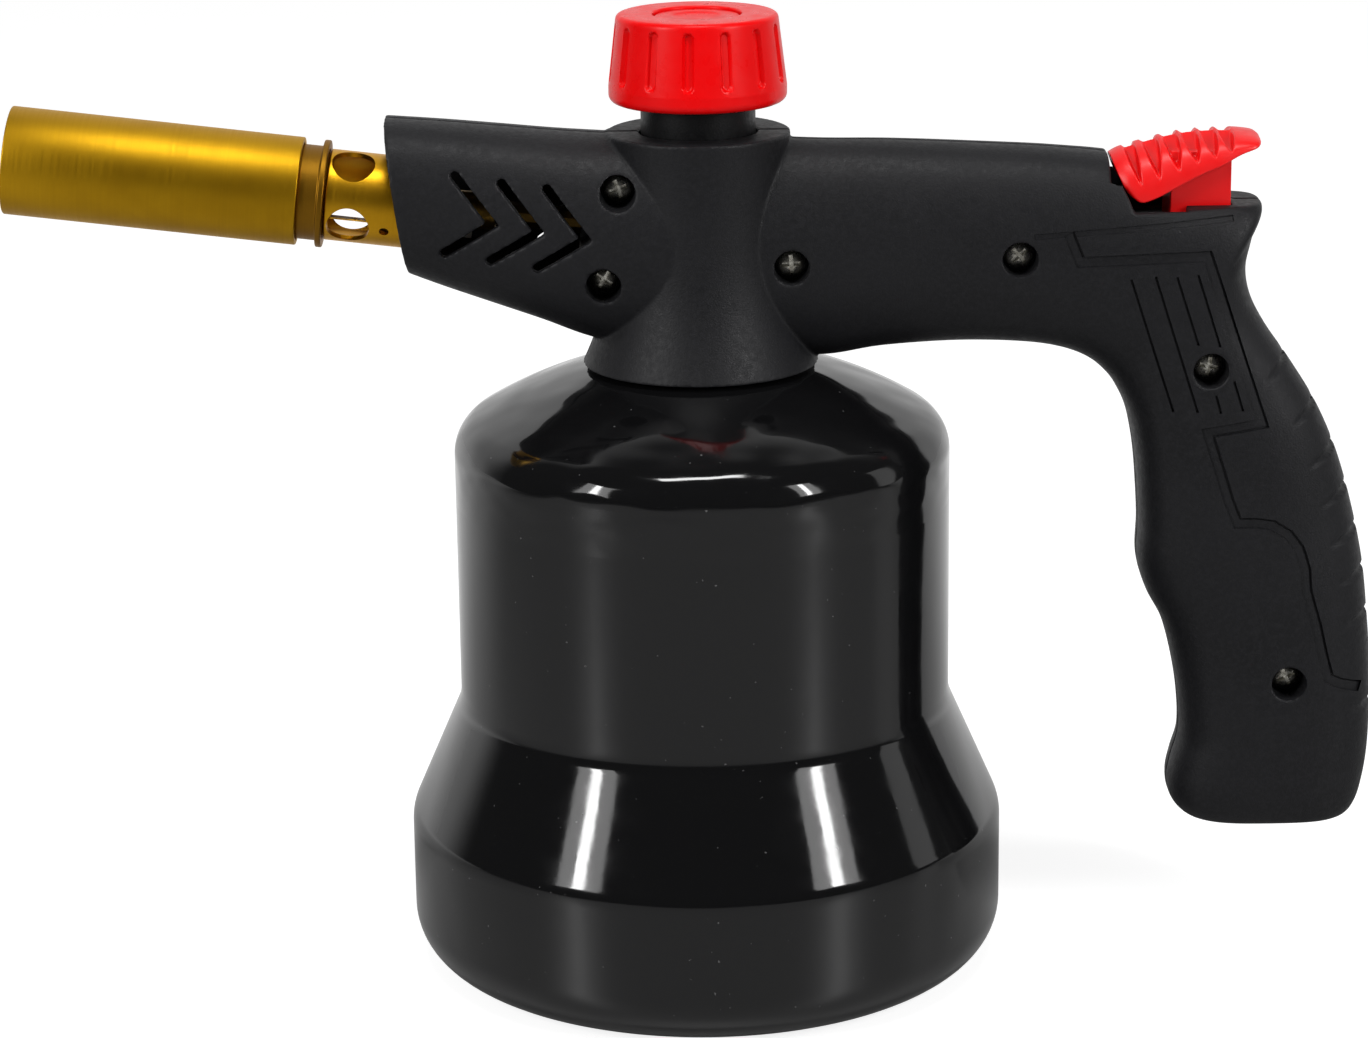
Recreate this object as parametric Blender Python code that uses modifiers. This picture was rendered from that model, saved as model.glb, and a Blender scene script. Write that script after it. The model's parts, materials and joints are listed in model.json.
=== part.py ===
"""Gas soldering torch for a pierceable cartridge, at its real size.

Lengths are in metres. +Z is up, +X runs from the valve towards the pistol grip, and the
burner points towards -X. The origin is on the canister's axis, on the table.
"""

import math

import bmesh
import bpy
from mathutils import Matrix, Vector

# Clearances shared by all pieces
SEAT_GAP = 0.0003
RUN_GAP = 0.0003
OVERRUN = 0.004
MERGE_DISTANCE = 0.00001

# Gas cartridge
CARTRIDGE_R = 0.0450
CARTRIDGE_H = 0.0940
CARTRIDGE_SHOULDER_H = 0.0165
CARTRIDGE_WALL = 0.0006
CARTRIDGE_HOLE_R = 0.0021
CARTRIDGE_CAP_R = 0.0095
CARTRIDGE_CAP_H = 0.0030
CARTRIDGE_DISH = 0.0035
CARTRIDGE_RIM = 0.0030

# Canister that holds the cartridge
CARTRIDGE_GAP = 0.00085
MOUTH_GAP = 0.0010
CANISTER_WALL = 0.0012
FLARE_OUT = 0.01005
FLARE_RISE = 0.0229
FLARE_ROUND = 0.0090
FOOT_BAND_H = 0.0292
FOOT_ROUND = 0.0105
SHOULDER_ROUND = 0.00835
SHOULDER_DROP = 0.00416
CROWN_R = 0.0835
HEAD_SEAT_R = 0.0195

# Bayonet base cap
BASE_CAP_GAP = 0.0006
BASE_CAP_H = 0.0090
BASE_CAP_PLATE = 0.0020
BASE_CAP_RIM = 0.0032
BASE_CAP_LIFT = 0.0005
BASE_BAR_W = 0.0120
BASE_LUG_REACH = 0.0030
BASE_LUG_H = 0.0024
BASE_LUG_LIFT = 0.0014
BASE_LUG_COUNT = 3
BASE_LUG_DEG = 24.0
BASE_NOTCH_DEG = 30.0
BASE_TURN_DEG = 40.0
PAD_THICKNESS = 0.0009
PAD_R = 0.0380
PAD_WIDTH = 0.0080

# Valve and the parts that clamp it to the canister
STEM_R = 0.0095
STEM_GASKET_H = 0.0007
STEM_FLANGE_R = 0.0140
STEM_FLANGE_H = 0.0030
TIP_R = 0.0110
SEAL_R = 0.0085
SEAL_BORE_R = 0.0030
SEAL_H = 0.0027
SEAL_LIP = 0.0020
NEEDLE_R = 0.0016
NEEDLE_HEAD_R = 0.0026
NEEDLE_REACH = 0.0055
NEEDLE_HEAD_H = 0.0085
NEEDLE_BORE_R = 0.0005
NECK_NUT_FLATS = 0.0260
NECK_NUT_H = 0.0060
COLLAR_R = 0.0125
COLLAR_H = 0.0030
COLLAR_BELOW_AXIS = 0.0112
BLOCK_R = 0.0080
BLOCK_ABOVE_AXIS = 0.0085
VALVE_NECK_R = 0.0065
VALVE_NECK_DROP = 0.0040
CHAMBER_R = 0.0037
CHAMBER_BELOW_AXIS = 0.0017
CHANNEL_R = 0.0010
GLAND_BORE_R = 0.0050
GLAND_FLATS = 0.0128
GLAND_H = 0.0034
GLAND_SPIGOT_H = 0.0047
O_RING_WIRE_R = 0.0006
O_RING_R = 0.00355
SPINDLE_R = 0.0030
SPINDLE_THREAD_R = 0.0034
SPINDLE_NOSE_R = 0.0020
SPINDLE_POINT_R = 0.0008
SPINDLE_POINT_H = 0.0030
SPINDLE_NOSE_H = 0.0045
SPINDLE_GROOVE_R = 0.0025
SLEEVE_R = 0.0107
SLEEVE_BORE_R = 0.0083
SLEEVE_SINK = 0.0035
SLEEVE_INSIDE_KNOB = 0.0030

# Valve knob
KNOB_LIFT = 0.0056
KNOB_H = 0.0163
KNOB_SKIRT_R = 0.0166
KNOB_TOP_R = 0.0150
KNOB_SKIRT_ROUND = 0.0028
KNOB_TOP_ROUND = 0.0010
KNOB_SKIRT_H = 0.0030
KNOB_CAVITY_R = 0.0130
KNOB_CAVITY_H = 0.0096
KNOB_HUB_R = 0.0062
KNOB_HUB_LIFT = 0.0012
KNOB_WEB = 0.0012
KNOB_CAP_R = 0.0080
KNOB_CAP_SINK = 0.0022
KNOB_CAP_H = 0.0014
KNOB_DISH_R = 0.0047
KNOB_DISH_DEPTH = 0.0005
KNOB_GROOVES = 14
KNOB_GROOVE_R = 0.00095
KNOB_GROOVE_STAND = 0.00015
KNOB_GROOVE_BOTTOM = 0.0050
KNOB_GROOVE_TOP = 0.0026
KNOB_GROOVE_PHASE_DEG = -6.5
KNOB_SCREW_HEAD_R = 0.0028
KNOB_SCREW_HEAD_H = 0.0020
KNOB_SCREW_R = 0.0013
KNOB_SCREW_L = 0.0060

# Head: a waisted column, a nose shroud and a pistol grip
COLUMN_H = 0.0443
COLUMN_FOOT_R = 0.0223
COLUMN_WAIST_R = 0.0165
COLUMN_TOP_R = 0.0172
COLUMN_WAIST_SHARE = 0.6
COLUMN_FLARE_POWER = 2.2
NOSE_REACH = 0.0582
NOSE_HALF_T = 0.0159
NOSE_WALL = 0.0022
HANDLE_REACH = 0.1285
HANDLE_HALF_T = 0.0135
HANDLE_WALL = 0.0025
GRIP_DROP = 0.0906
PARTING_GAP = 0.0003
NUT_ROOM_R = 0.0168
NUT_ROOM_H = 0.0078
BURNER_AXIS_SHARE = 0.555
BURNER_TILT_DEG = 7.0

# Rows of the nose: x and height of its lower edge, x and height of its upper edge,
# half thickness and squareness. x is a share of NOSE_REACH, height of COLUMN_H.
NOSE_SHARES = (
    (-0.921, 0.418, -1.000, 1.050, 0.79, 2.5),
    (-0.811, 0.363, -0.816, 1.034, 0.83, 2.5),
    (-0.658, 0.289, -0.636, 1.014, 0.87, 2.5),
    (-0.503, 0.214, -0.464, 0.995, 0.92, 2.4),
    (-0.356, 0.138, -0.292, 0.982, 0.96, 2.4),
    (-0.172, 0.077, -0.137, 0.973, 0.99, 2.4),
    (0.035, 0.054, 0.035, 0.968, 1.00, 2.4),
)

# Rows of the arm and the grip, from the column to the heel: x and height of the inner
# edge, x and height of the outer edge, half thickness and squareness. x is a share of
# HANDLE_REACH. Heights above the canister's seat are shares of COLUMN_H, and heights
# below it are shares of GRIP_DROP.
HANDLE_SHARES = (
    (-0.023, 0.054, -0.023, 0.968, 0.92, 2.2),
    (0.093, 0.043, 0.093, 0.959, 0.92, 2.2),
    (0.183, 0.032, 0.183, 0.946, 0.92, 2.2),
    (0.265, 0.072, 0.280, 0.941, 0.92, 2.3),
    (0.374, 0.093, 0.405, 0.923, 0.92, 2.4),
    (0.467, 0.086, 0.521, 0.901, 0.92, 2.5),
    (0.525, 0.061, 0.623, 0.862, 0.93, 2.6),
    (0.567, 0.011, 0.724, 0.763, 0.94, 2.7),
    (0.596, -0.030, 0.816, 0.688, 0.95, 2.8),
    (0.613, -0.067, 0.814, 0.551, 0.95, 2.8),
    (0.626, -0.109, 0.803, 0.415, 0.95, 2.8),
    (0.634, -0.156, 0.805, 0.280, 0.95, 2.8),
    (0.640, -0.211, 0.828, 0.140, 0.96, 2.8),
    (0.644, -0.277, 0.866, -0.009, 0.96, 2.8),
    (0.647, -0.354, 0.905, -0.098, 0.98, 2.8),
    (0.649, -0.432, 0.937, -0.200, 0.99, 2.7),
    (0.665, -0.503, 0.962, -0.316, 0.99, 2.6),
    (0.689, -0.568, 0.981, -0.437, 1.00, 2.6),
    (0.704, -0.647, 0.991, -0.553, 1.00, 2.6),
    (0.711, -0.735, 0.998, -0.663, 1.00, 2.6),
    (0.714, -0.820, 1.000, -0.768, 1.00, 2.6),
    (0.704, -0.877, 0.998, -0.857, 0.99, 2.7),
    (0.698, -0.924, 0.992, -0.919, 0.98, 2.8),
    (0.708, -0.967, 0.981, -0.966, 0.93, 3.0),
    (0.735, -0.992, 0.957, -0.990, 0.81, 3.2),
    (0.770, -1.001, 0.926, -1.000, 0.63, 3.4),
)
ARM_CAVITY_ROWS = (2, 5)
GRIP_CAVITY_ROWS = (14, 22)
NOSE_CAVITY_ROWS = (-0.35, 3.65)

# Ribs on the back of the grip: where along its rows the dividing notches lie
NOTCH_ROW_SHARES = (12.75, 13.87, 14.8, 15.6, 16.36, 17.1, 17.92, 19.74)
NOTCH_R = 0.0009
NOTCH_STAND = 0.0002

# Chevron vents in the nose: upper end, point and lower end of each slot, as shares of
# NOSE_REACH and COLUMN_H
CHEVRON_SHARES = (
    ((-0.771, 0.869), (-0.655, 0.668), (-0.811, 0.544)),
    ((-0.624, 0.837), (-0.509, 0.634), (-0.665, 0.512)),
    ((-0.481, 0.813), (-0.361, 0.605), (-0.517, 0.483)),
)
CHEVRON_SLOT_W = 0.0017
CHEVRON_INNER_Y = 0.0080

# Housing screws: x as a share of HANDLE_REACH and height as in HANDLE_SHARES
SCREW_SHARES = (
    (-0.117, 0.790),
    (-0.139, 0.404),
    (0.132, 0.460),
    (0.461, 0.483),
    (0.739, -0.002),
    (0.865, -0.679),
)
SCREW_R = 0.00145
SCREW_L = 0.0130
SCREW_HEAD_R = 0.00275
SCREW_HEAD_H = 0.0019
SCREW_SEAT = 0.0065
COUNTERBORE_R = 0.00325
BOSS_R = 0.0046
BOSS_INSET = 0.0013
BOSS_SCREWS = ((3, 4), (5, 18))

# Ignition button, the deck that it sits in and the piezo igniter under it
TRIGGER_X_SHARE = 0.724
DECK_LEVEL_SHARE = 0.659
BUTTON_LENGTH = 0.0268
BUTTON_H = 0.0142
BUTTON_HALF_W = 0.0095
BUTTON_TRAVEL = 0.0045
BUTTON_GROOVE_R = 0.0011
STEM_LENGTH = 0.0112
STEM_HALF_W = 0.0063
STEM_SINK = 0.0040
STEM_TOP = 0.0110
POCKET_SINK = 0.0029
POCKET_BEHIND = 0.0006
PIEZO_LENGTH = 0.0090
PIEZO_HALF_W = 0.0055
PIEZO_H = 0.0160
PIEZO_FLOOR = 0.0024
PLUNGER_R = 0.0029
PLUNGER_L = 0.0070
SPRING_WIRE_R = 0.00035
SPRING_R = 0.0022
SPRING_TURNS = 6

# Rows of the thumb pad: x and height of the edge, x and height of the crest, half width.
# x is a share of BUTTON_LENGTH from the stem's centre, height a share of BUTTON_H above
# the deck.
PAD_SHARES = (
    (-0.470, 0.190, -0.575, 0.711, 0.90),
    (-0.418, 0.141, -0.522, 0.768, 0.98),
    (-0.321, 0.197, -0.429, 0.824, 1.00),
    (-0.198, 0.317, -0.280, 0.908, 1.00),
    (-0.030, 0.486, -0.112, 0.972, 0.99),
    (0.131, 0.613, 0.075, 1.000, 0.95),
    (0.261, 0.739, 0.243, 0.993, 0.88),
    (0.381, 0.824, 0.373, 0.958, 0.76),
    (0.425, 0.845, 0.425, 0.915, 0.62),
)
PAD_GROOVE_ROWS = (1.55, 2.35, 3.1, 3.8, 4.5, 5.15)
PAD_GROOVE_SPAN_SHARE = 0.66

# Burner, measured along its axis from the nose's mouth
MOUTH_ROW_SHARE = 0.972
PIN_HOLE_AHEAD = 0.0015
PIN_HOLE_R = 0.0009
AIR_HOLE_AHEAD = 0.0083
AIR_HOLE_R = 0.0040
AIR_HOLES = 4
AIR_HOLE_PHASE_DEG = 58.0
TUBE_R = 0.0085
TUBE_WALL = 0.0010
TUBE_BEHIND = 0.0065
FLANGE_AHEAD = 0.0131
FLANGE_R = 0.01005
FLANGE_T = 0.0012
NECK_R = 0.00885
NECK_WALL = 0.00095
NECK_L = 0.0103
SPIGOT_R = 0.0076
CUP_AHEAD = 0.0180
CUP_R = 0.0101
CUP_L = 0.0546
FLAME_HOLDER_INSET = 0.0140
FLAME_HOLDER_T = 0.0040
FLAME_BORE_R = 0.0042
FLAME_PORT_R = 0.0011
FLAME_PORTS = 8
FLAME_PORT_CIRCLE_R = 0.0066
HOLDER_FLANGE_T = 0.0025
HOLDER_FLANGE_R = 0.0083
HOLDER_SPIGOT_R = 0.0034
HOLDER_SPIGOT_L = 0.0095
JET_R = 0.0021
JET_BORE_R = 0.0004
JET_STICKS_OUT = 0.0018
JET_SINK = 0.0075
PIPE_R = 0.0024
PIPE_BORE_R = 0.0012
PIPE_INSET = 0.0055
PIPE_PASSAGE_GAP = 0.0006
ELECTRODE_OFFSET = 0.0050
ELECTRODE_PHASE_DEG = 22.0
ELECTRODE_R = 0.0004
ELECTRODE_SHORT = 0.0035
INSULATOR_R = 0.00125
INSULATOR_BEHIND = 0.0080

# Ignition lead and earth lead, laid inside the housing
WIRE_R = 0.0010
EARTH_WIRE_R = 0.0007
WIRE_CHANNEL_GAP = 0.0004
WIRE_HEIGHT_SHARE = 0.652
WIRE_PIEZO_SHARE = 0.178
LEAD_NEAR_COLUMN = 0.0020
LEAD_OFF_COLUMN = 0.0090
LEAD_DROP = 0.0010
LEAD_TURN_START = 0.0105
LEAD_TURN_END = 0.0070
LEAD_ARM_SHARE = 0.96
LEAD_NOSE_SHARE = 0.86
LEAD_TURN_START_SHARE = 0.62
LEAD_TURN_END_SHARE = 0.32
EARTH_LIFT = 0.0010
EARTH_STRAIGHT = 0.0100

# Routes of the leads through the handle: way back from the piezo as a share of
# HANDLE_REACH, way off the parting plane as a share of HANDLE_HALF_T, share of the climb
LEAD_SHARES = (
    (0.000, 0.19, 0.00),
    (0.014, 0.19, 0.00),
    (0.050, 0.22, 0.07),
    (0.089, 0.30, 0.28),
    (0.128, 0.37, 0.57),
    (0.174, 0.44, 0.85),
    (0.229, 0.50, 1.00),
    (0.314, 0.55, 1.03),
    (0.408, 0.63, 1.02),
)
EARTH_SHARES = (
    (0.000, -0.19, 0.00),
    (0.014, -0.19, 0.00),
    (0.050, -0.205, 0.07),
    (0.089, -0.22, 0.28),
    (0.128, -0.22, 0.56),
    (0.174, -0.22, 0.82),
    (0.229, -0.22, 0.97),
    (0.314, -0.22, 1.00),
    (0.470, -0.22, 1.00),
)

# How finely round things are divided
STEPS_CANISTER = 32
STEPS_CARTRIDGE = 20
STEPS_KNOB = 28
STEPS_BURNER = 20
STEPS_VALVE = 12
STEPS_SMALL = 10
STEPS_COLUMN = 28
RING_POINTS = 16
CAVITY_POINTS = 12
SMOOTH_ANGLE_DEG = 35.0

# Sizes worked out from the ones above
canister_r = CARTRIDGE_R + CARTRIDGE_GAP + CANISTER_WALL
foot_r = canister_r + FLARE_OUT
mouth_r = CARTRIDGE_R + MOUTH_GAP
foot_round = min(FOOT_ROUND, foot_r - mouth_r)
base_cap_r = mouth_r - BASE_CAP_GAP
pad_z = BASE_CAP_H + SEAT_GAP
cartridge_z = pad_z + PAD_THICKNESS + SEAT_GAP
cartridge_top = cartridge_z + CARTRIDGE_H
shoulder_z = cartridge_top - SHOULDER_DROP
crown_reach = CROWN_R - SHOULDER_ROUND
crown_z = shoulder_z - math.sqrt(crown_reach**2 - (canister_r - SHOULDER_ROUND) ** 2)
seat_z = crown_z + math.sqrt(CROWN_R**2 - HEAD_SEAT_R**2)
column_top = seat_z + COLUMN_H
axis_z = seat_z + BURNER_AXIS_SHARE * COLUMN_H
knob_z = column_top + KNOB_LIFT
knob_top = knob_z + KNOB_H
tilt = math.radians(BURNER_TILT_DEG)
mouth_s = MOUTH_ROW_SHARE * NOSE_REACH / math.cos(tilt)
holder_s = mouth_s + AIR_HOLE_AHEAD - AIR_HOLE_R - SEAT_GAP
tube_s = mouth_s - TUBE_BEHIND
flange_s = mouth_s + FLANGE_AHEAD
cup_s = mouth_s + CUP_AHEAD
cup_end_s = cup_s + CUP_L
trigger_x = TRIGGER_X_SHARE * HANDLE_REACH
deck_z = seat_z + DECK_LEVEL_SHARE * COLUMN_H
piezo_top = deck_z - STEM_SINK - BUTTON_TRAVEL - SEAT_GAP
piezo_z = piezo_top - PIEZO_H
wire_z = seat_z + WIRE_HEIGHT_SHARE * COLUMN_H
wire_y = BLOCK_R + RUN_GAP + WIRE_R + WIRE_CHANNEL_GAP + SEAT_GAP


def clear_scene():
    for obj in list(bpy.data.objects):
        bpy.data.objects.remove(obj, do_unlink=True)


def new_collection(name):
    collection = bpy.data.collections.new(name)
    bpy.context.scene.collection.children.link(collection)
    return collection


clear_scene()
PIECES = new_collection("gas_torch")
CUTTERS = new_collection("cutters")


def finish(name, colour, roughness, metallic=0.0):
    material = bpy.data.materials.new(name)
    material.use_nodes = True
    shader = material.node_tree.nodes["Principled BSDF"]
    shader.inputs["Base Color"].default_value = (*colour, 1.0)
    shader.inputs["Roughness"].default_value = roughness
    shader.inputs["Metallic"].default_value = metallic
    return material


BLACK_PLASTIC = finish("black_plastic", (0.020, 0.021, 0.024), 0.55)
BLACK_PAINT = finish("black_paint", (0.006, 0.006, 0.007), 0.12)
BASE_PLASTIC = finish("base_plastic", (0.016, 0.016, 0.017), 0.5)
RED_PLASTIC = finish("red_plastic", (0.72, 0.008, 0.018), 0.28)
BRASS = finish("brass", (0.62, 0.42, 0.11), 0.30, 1.0)
DULL_BRASS = finish("dull_brass", (0.48, 0.36, 0.13), 0.42, 1.0)
STEEL = finish("zinc_steel", (0.62, 0.62, 0.60), 0.32, 1.0)
CARTRIDGE_PAINT = finish("cartridge_paint", (0.55, 0.57, 0.58), 0.35)
RUBBER = finish("black_rubber", (0.012, 0.012, 0.012), 0.7)
CERAMIC = finish("white_ceramic", (0.78, 0.76, 0.70), 0.35)
GREY_PLASTIC = finish("grey_plastic", (0.22, 0.22, 0.23), 0.45)
LEAD_SKIN = finish("lead_insulation", (0.03, 0.03, 0.03), 0.5)


def add_object(name, mesh, collection, look=None):
    obj = bpy.data.objects.new(name, mesh)
    collection.objects.link(obj)
    if look:
        mesh.materials.append(look)
    return obj


def add_cutter(name, mesh):
    cutter = add_object(name, mesh, CUTTERS)
    cutter.hide_render = True
    cutter.display_type = "WIRE"
    return cutter


def add_axis(name, matrix):
    """An empty whose +Z lies on an axis that pieces are turned or moved about."""
    empty = bpy.data.objects.new(name, None)
    CUTTERS.objects.link(empty)
    empty.matrix_world = matrix
    empty.hide_render = True
    return empty


def apply_modifiers(obj):
    """Keep the evaluated mesh, so that later cuts start from it."""
    graph = bpy.context.evaluated_depsgraph_get()
    mesh = bpy.data.meshes.new_from_object(obj.evaluated_get(graph))
    obj.modifiers.clear()
    obj.data = mesh
    return obj


def shade(obj):
    obj.data.shade_smooth()
    obj.data.set_sharp_from_angle(angle=math.radians(SMOOTH_ANGLE_DEG))
    return obj


def combine(obj, others, operation="DIFFERENCE", solver="EXACT"):
    for other in others:
        step = obj.modifiers.new(other.name, "BOOLEAN")
        step.operation = operation
        step.solver = solver
        step.object = other
    return apply_modifiers(obj)


def mesh_from(bm, name):
    bmesh.ops.recalc_face_normals(bm, faces=bm.faces)
    mesh = bpy.data.meshes.new(name)
    bm.to_mesh(mesh)
    bm.free()
    return mesh


def rounded(corners, arc_steps=4):
    """A profile whose corners (x, z, radius) are replaced by arcs of that radius."""
    points = []
    for index, corner in enumerate(corners):
        if len(corner) < 3:
            points.append(Vector(corner))
            continue
        here = Vector(corner[:2])
        before = (Vector(corners[index - 1][:2]) - here).normalized()
        after = (Vector(corners[index + 1][:2]) - here).normalized()
        half = before.angle(after) / 2
        centre = here + (before + after).normalized() * corner[2] / math.sin(half)
        start = here + before * corner[2] / math.tan(half) - centre
        end = here + after * corner[2] / math.tan(half) - centre
        sweep = start.angle_signed(end)
        for step in range(arc_steps + 1):
            turn = Matrix.Rotation(-sweep * step / arc_steps, 2)
            points.append(centre + turn @ start)
    return [tuple(point) for point in points]


def arc(centre, radius, start_deg, end_deg, steps):
    """Points on a circle, with angles measured from +x towards +z."""
    turns = [math.radians(start_deg + (end_deg - start_deg) * i / steps) for i in range(steps + 1)]
    return [
        (centre[0] + radius * math.cos(turn), centre[1] + radius * math.sin(turn))
        for turn in turns
    ]


def turned_mesh(name, profile, steps, ring):
    mesh = bpy.data.meshes.new(name)
    edges = [(i, i + 1) for i in range(len(profile) - 1)]
    if ring:
        edges.append((len(profile) - 1, 0))
    mesh.from_pydata([(x, 0.0, z) for x, z in profile], edges, [])
    holder = add_cutter(name + "_profile", mesh)
    screw = holder.modifiers.new("turn", "SCREW")
    screw.steps = steps
    screw.render_steps = steps
    screw.use_merge_vertices = True
    screw.merge_threshold = MERGE_DISTANCE
    mesh = apply_modifiers(holder).data
    bpy.data.objects.remove(holder)
    mesh.name = name
    return mesh


def turned(name, profile, look, steps, ring=False, axis=None):
    """A piece turned about +Z, or about the axis of an empty. A ring's profile is closed."""
    obj = add_object(name, turned_mesh(name, profile, steps, ring), PIECES, look)
    obj.parent = axis
    return obj


def turned_cutter(name, profile, steps, ring=False, axis=None):
    cutter = add_cutter(name, turned_mesh(name, profile, steps, ring))
    cutter.parent = axis
    return cutter


def add_rod(bm, start, end, radius, steps):
    """A cylinder between two points."""
    start, end = Vector(start), Vector(end)
    turn = (end - start).to_track_quat("Z", "Y").to_matrix().to_4x4()
    place = Matrix.Translation((start + end) / 2) @ turn
    bmesh.ops.create_cone(
        bm,
        cap_ends=True,
        segments=steps,
        radius1=radius,
        radius2=radius,
        depth=(end - start).length,
        matrix=place,
    )


def rods(name, ends, radius, steps):
    """One cutter that holds a cylinder for each pair of points."""
    bm = bmesh.new()
    for start, end in ends:
        add_rod(bm, start, end, radius, steps)
    return add_cutter(name, mesh_from(bm, name))


def box_mesh(name, low, high):
    bm = bmesh.new()
    low, high = Vector(low), Vector(high)
    size = Matrix.Diagonal((*(high - low), 1.0))
    bmesh.ops.create_cube(bm, size=1.0, matrix=Matrix.Translation((low + high) / 2) @ size)
    return mesh_from(bm, name)


def prism(name, outline, low_y, high_y):
    """A flat outline of (x, z) points, drawn through from low_y to high_y."""
    bm = bmesh.new()
    face = bm.faces.new([bm.verts.new((x, low_y, z)) for x, z in outline])
    drawn = bmesh.ops.extrude_face_region(bm, geom=[face])["geom"]
    moved = [item for item in drawn if isinstance(item, bmesh.types.BMVert)]
    bmesh.ops.translate(bm, vec=(0.0, high_y - low_y, 0.0), verts=moved)
    return mesh_from(bm, name)


def loft_mesh(name, rings):
    """A closed skin over rings of points, flat at both ends."""
    bm = bmesh.new()
    loops = [[bm.verts.new(point) for point in ring] for ring in rings]
    for first, second in zip(loops, loops[1:]):
        for i in range(len(first)):
            j = (i + 1) % len(first)
            bm.faces.new((first[i], first[j], second[j], second[i]))
    bm.faces.new(loops[0][::-1])
    bm.faces.new(loops[-1])
    return mesh_from(bm, name)


def smooth_row(rows, position):
    """The row at a fractional position, on a smooth curve through all rows."""
    last = len(rows) - 1
    index = min(int(position), last - 1)
    part = position - index
    near = [rows[max(0, min(last, index + step))] for step in (-1, 0, 1, 2)]
    blended = []
    for a, b, c, d in zip(*near):
        bend = (2 * a - 5 * b + 4 * c - d) * part**2 + (3 * b - 3 * c + d - a) * part**3
        blended.append(b + ((c - a) * part + bend) / 2)
    return blended


def power_ring(low, high, half_thickness, squareness, count, inset=0.0):
    """A rounded section across the parting plane, between a low and a high edge."""
    low, high = Vector(low), Vector(high)
    centre = (low + high) / 2
    along = (high - low) / 2
    along -= along.normalized() * inset
    ring = []
    for i in range(count):
        angle = 2 * math.pi * i / count
        c, s = math.cos(angle), math.sin(angle)
        up = math.copysign(abs(c) ** (2 / squareness), c)
        out = math.copysign(abs(s) ** (2 / squareness), s)
        side = Vector((0.0, (half_thickness - inset) * out, 0.0))
        ring.append(centre + along * up + side)
    return ring


def level(share):
    """Height of a share of the column above the seat, or of the grip below it."""
    return seat_z + share * (COLUMN_H if share > 0 else GRIP_DROP)


def handle_row(position):
    row = smooth_row(HANDLE_SHARES, position)
    inner = (row[0] * HANDLE_REACH, 0.0, level(row[1]))
    outer = (row[2] * HANDLE_REACH, 0.0, level(row[3]))
    return inner, outer, row[4] * HANDLE_HALF_T, row[5]


def nose_row(position):
    row = smooth_row(NOSE_SHARES, position)
    lower = (row[0] * NOSE_REACH, 0.0, level(row[1]))
    upper = (row[2] * NOSE_REACH, 0.0, level(row[3]))
    return lower, upper, row[4] * NOSE_HALF_T, row[5]


def loft_rings(row_at, first, last, steps_per_row, inset=0.0, count=RING_POINTS):
    total = round((last - first) * steps_per_row)
    spots = [first + (last - first) * i / total for i in range(total + 1)]
    return [power_ring(*row_at(spot), count, inset) for spot in spots]


def burner_frame():
    turn = Matrix.Rotation(tilt - math.pi / 2, 4, "Y")
    return Matrix.Translation((0.0, 0.0, axis_z)) @ turn


def along_burner(distance, up=0.0, side=0.0):
    """A world point at a distance along the burner, and off its axis."""
    return burner_frame() @ Vector((up, side, distance))


def canister_profile():
    """Outer side from the crown down to the foot's lip, then the inner side back up."""
    wall = CANISTER_WALL
    shoulder = (canister_r - SHOULDER_ROUND, shoulder_z)
    meet = math.degrees(math.atan2(shoulder_z - crown_z, shoulder[0]))
    seat_deg = math.degrees(math.acos(HEAD_SEAT_R / CROWN_R))
    bore_r = STEM_R + SEAT_GAP
    band_top = FOOT_BAND_H
    flare_top = FOOT_BAND_H + FLARE_RISE
    outer = [(bore_r, seat_z)]
    outer += arc((0.0, crown_z), CROWN_R, seat_deg, meet, 3)
    outer += arc(shoulder, SHOULDER_ROUND, meet, 0.0, 4)[1:]
    outer += rounded(
        [
            (canister_r, shoulder_z),
            (canister_r, flare_top, FLARE_ROUND),
            (foot_r, band_top, FLARE_ROUND),
            (foot_r, 0.0, foot_round),
            (mouth_r, 0.0),
        ],
        2,
    )[1:]
    inner = rounded(
        [
            (mouth_r, wall),
            (foot_r - wall, wall, foot_round - wall),
            (foot_r - wall, band_top, FLARE_ROUND),
            (canister_r - wall, flare_top, FLARE_ROUND),
            (canister_r - wall, shoulder_z),
        ],
        2,
    )
    inner += arc(shoulder, SHOULDER_ROUND - wall, 0.0, meet, 2)[1:]
    inner += arc((0.0, crown_z), CROWN_R - wall, meet, seat_deg, 2)[1:]
    inner.append((bore_r, seat_z - wall))
    return outer + inner


def bayonet_sector(name, inner_r, outer_r, low_z, high_z, width_deg):
    """One cutter or lug ring: a sector for each bayonet place, centred on its angle."""
    bm = bmesh.new()
    for number in range(BASE_LUG_COUNT):
        middle = 360.0 * number / BASE_LUG_COUNT
        rings = []
        for step in range(4):
            turn = math.radians(middle + width_deg * (step / 3 - 0.5))
            ray = Vector((math.cos(turn), math.sin(turn), 0.0))
            corners = ((inner_r, low_z), (outer_r, low_z), (outer_r, high_z), (inner_r, high_z))
            rings.append([bm.verts.new(ray * r + Vector((0.0, 0.0, z))) for r, z in corners])
        for first, second in zip(rings, rings[1:]):
            for i in range(4):
                j = (i + 1) % 4
                bm.faces.new((first[i], first[j], second[j], second[i]))
        bm.faces.new(rings[0][::-1])
        bm.faces.new(rings[-1])
    return mesh_from(bm, name)


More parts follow.
